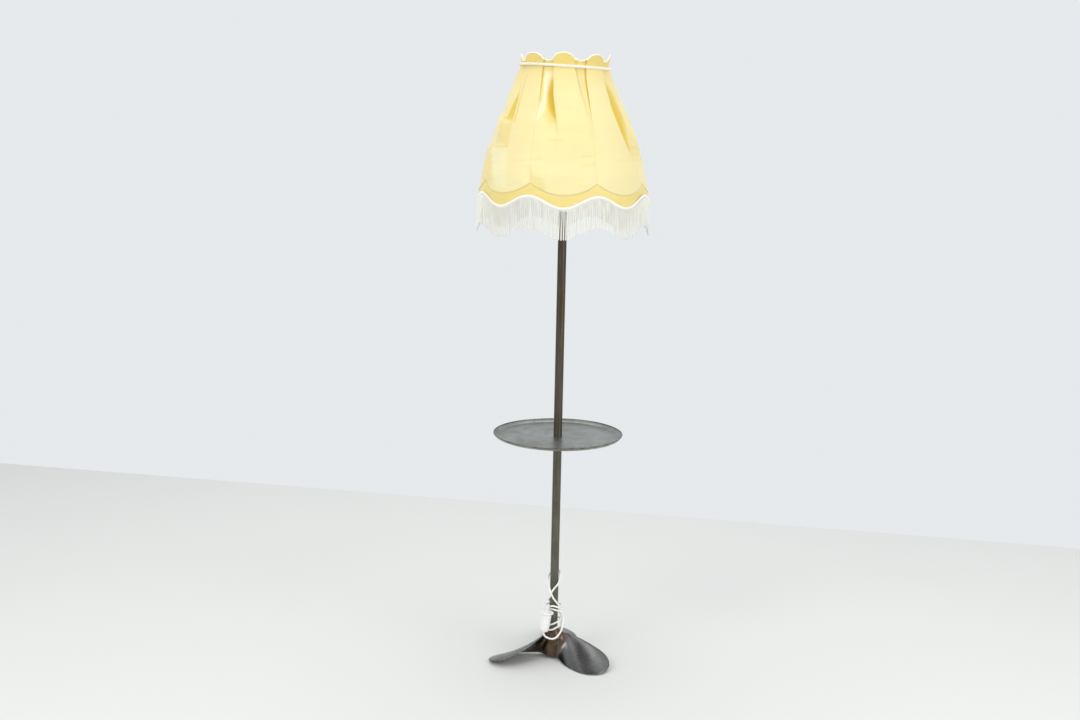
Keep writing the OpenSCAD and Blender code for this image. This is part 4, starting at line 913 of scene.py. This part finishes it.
PLAITS, EDGE_R = 160, 233.1
steps = PLAITS * 12
a = np.linspace(0, 2 * PI, steps, endpoint=False) - PI / 2
out_a = np.stack([np.cos(a), np.sin(a), 0 * a], -1)
parts = []
for k in range(3):
    lay = PLAITS * a + k * 2 * PI / 3
    r = 233.3 + 0.55 * np.sin(2 * lay)
    p = np.stack([r * np.cos(a), r * np.sin(a), BRAID_Z + wave(a) + 3.2 + 2.0 * np.sin(lay)], -1)
    parts.append(tube(p, 1.55, 6, closed=True, side=out_a, flat=0.55))
for edge in (0.5, 5.9):
    p = np.stack([EDGE_R * np.cos(a), EDGE_R * np.sin(a), BRAID_Z + wave(a) + edge], -1)[::4]
    parts.append(tube(p, 0.6, 5, closed=True))
verts, faces = joined(parts)
braid = put("braid_plaited", verts * MM, faces, braid_cotton)
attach(braid, "shade")
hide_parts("braid")

# ---------------------------------------------------------------- fringe

rng = np.random.default_rng(7)
parts = []
LOOPS, LOOP_DROP = 240, 77.5
pitch = PI / LOOPS
for i in range(LOOPS):
    a0 = -PI / 2 + 2 * i * pitch
    sway = rng.normal(0, 1.0, 2)
    drop = LOOP_DROP + rng.normal(0, 1.3)
    gap = rng.uniform(0.7, 1.0)
    t = np.concatenate([np.linspace(0, 0.97, 13), np.linspace(0.975, 1, 4)])
    down_a, up_a = a0 + pitch * 0.5 * gap, a0 + pitch * 1.5 - pitch * 0.5 * (1 - gap)
    side = np.concatenate([t, t[::-1]])
    blend_ = np.concatenate([np.zeros(13), np.linspace(0.12, 0.5, 4), np.linspace(0.5, 0.88, 4), np.ones(13)])
    mid = (down_a + up_a) / 2
    close = smoothstep(side, 0.1, 0.9) * 0.45
    aa = mix(down_a, up_a, blend_)
    aa = mix(aa, mid, close) + side ** 1.5 * sway[0] * 0.004
    top = BRAID_Z + wave(np.where(blend_ < 0.5, down_a, up_a)) - 0.4
    zz = mix(top, BRAID_Z + wave(mid) - 0.4, side) - side * drop
    rr = EDGE_R + side * (1.2 + sway[1] * 0.7) + 0.3 * np.sin(side * 5 + i)
    path = np.stack([rr * np.cos(aa), rr * np.sin(aa), zz], -1)
    parts.append(tube(path, 0.95, 5))
a = np.linspace(0, 2 * PI, 320, endpoint=False) - PI / 2
for level in (-0.9, -3.0):
    p = np.stack([233.2 * np.cos(a), 233.2 * np.sin(a), BRAID_Z + wave(a) + level], -1)
    parts.append(tube(p, 0.75, 6, closed=True))
verts, faces = joined(parts)
fringe = put("fringe_loops", verts * MM, faces, fringe_rayon)
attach(fringe, "shade")
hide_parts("fringe")

# ---------------------------------------------------------------- declared soft pieces

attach(cord, "stand")
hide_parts("cord_lead", "cord_winding", "cord_tail")

# ---------------------------------------------------------------- stage and light


def plain(name, colour, rough):
    f = Finish(name, colour, rough)
    tint = tuple(x * 0.985 for x in colour)
    return f.set(**{"Base Color": f.blend(f.span(f.noise(0.9, 4), 0.35, 0.7), colour, tint)})


# The floor ends where the photograph's wall begins, and the world behind it has the wall's colour
WALL_LEFT, WALL_RIGHT = 3.19, -0.21
floor = put("floor", [(-9, -9, 0), (9, -9, 0), (9, WALL_RIGHT, 0), (-9, WALL_LEFT, 0)], [(0, 1, 2, 3)],
            finish=plain("floor_paint", (0.775, 0.79, 0.77), 0.6), smooth=False)

world = bpy.data.worlds.new("studio")
world.use_nodes = True
nodes, links = world.node_tree.nodes, world.node_tree.links
light_path = nodes.new("ShaderNodeLightPath")
seen = nodes.new("ShaderNodeMath")
seen.operation = "MAXIMUM"
mirrored = nodes.new("ShaderNodeMath")
mirrored.operation = "MAXIMUM"
links.new(light_path.outputs["Is Glossy Ray"], mirrored.inputs[0])
links.new(light_path.outputs["Is Transmission Ray"], mirrored.inputs[1])
links.new(light_path.outputs["Is Camera Ray"], seen.inputs[0])
links.new(mirrored.outputs[0], seen.inputs[1])
ambient = nodes["Background"]
ambient.inputs["Color"].default_value = (0.985, 0.99, 1.0, 1)
ambient.inputs["Strength"].default_value = 0.655
backdrop = nodes.new("ShaderNodeBackground")
backdrop.inputs["Color"].default_value = (0.79, 0.82, 0.845, 1)
either = nodes.new("ShaderNodeMixShader")
links.new(seen.outputs[0], either.inputs["Fac"])
links.new(ambient.outputs[0], either.inputs[1])
links.new(backdrop.outputs[0], either.inputs[2])
links.new(either.outputs[0], nodes["World Output"].inputs["Surface"])
scene.world = world


def soft_light(name, place, target, size, power, colour=(1, 1, 1)):
    lamp = bpy.data.objects.new(name, bpy.data.lights.new(name, "AREA"))
    lamp.data.shape = "RECTANGLE"
    lamp.data.size, lamp.data.size_y = size
    lamp.data.energy = power
    lamp.data.color = colour
    lamp.location = place
    lamp.rotation_euler = (Vector(target) - Vector(place)).to_track_quat("-Z", "Y").to_euler()
    scene.collection.objects.link(lamp)


soft_light("key", (-2.3, -2.6, 2.9), (0, 0, 1.1), (1.8, 1.8), 44, (1, 0.99, 0.97))
soft_light("fill", (2.6, -2.2, 1.9), (0, 0, 0.9), (2.0, 2.0), 33, (1, 0.995, 0.98))
soft_light("top", (0, 0.2, 4.2), (0, 0, 0), (3.5, 3.5), 56)
scene.view_settings.view_transform = "Standard"
scene.view_settings.look = "None"
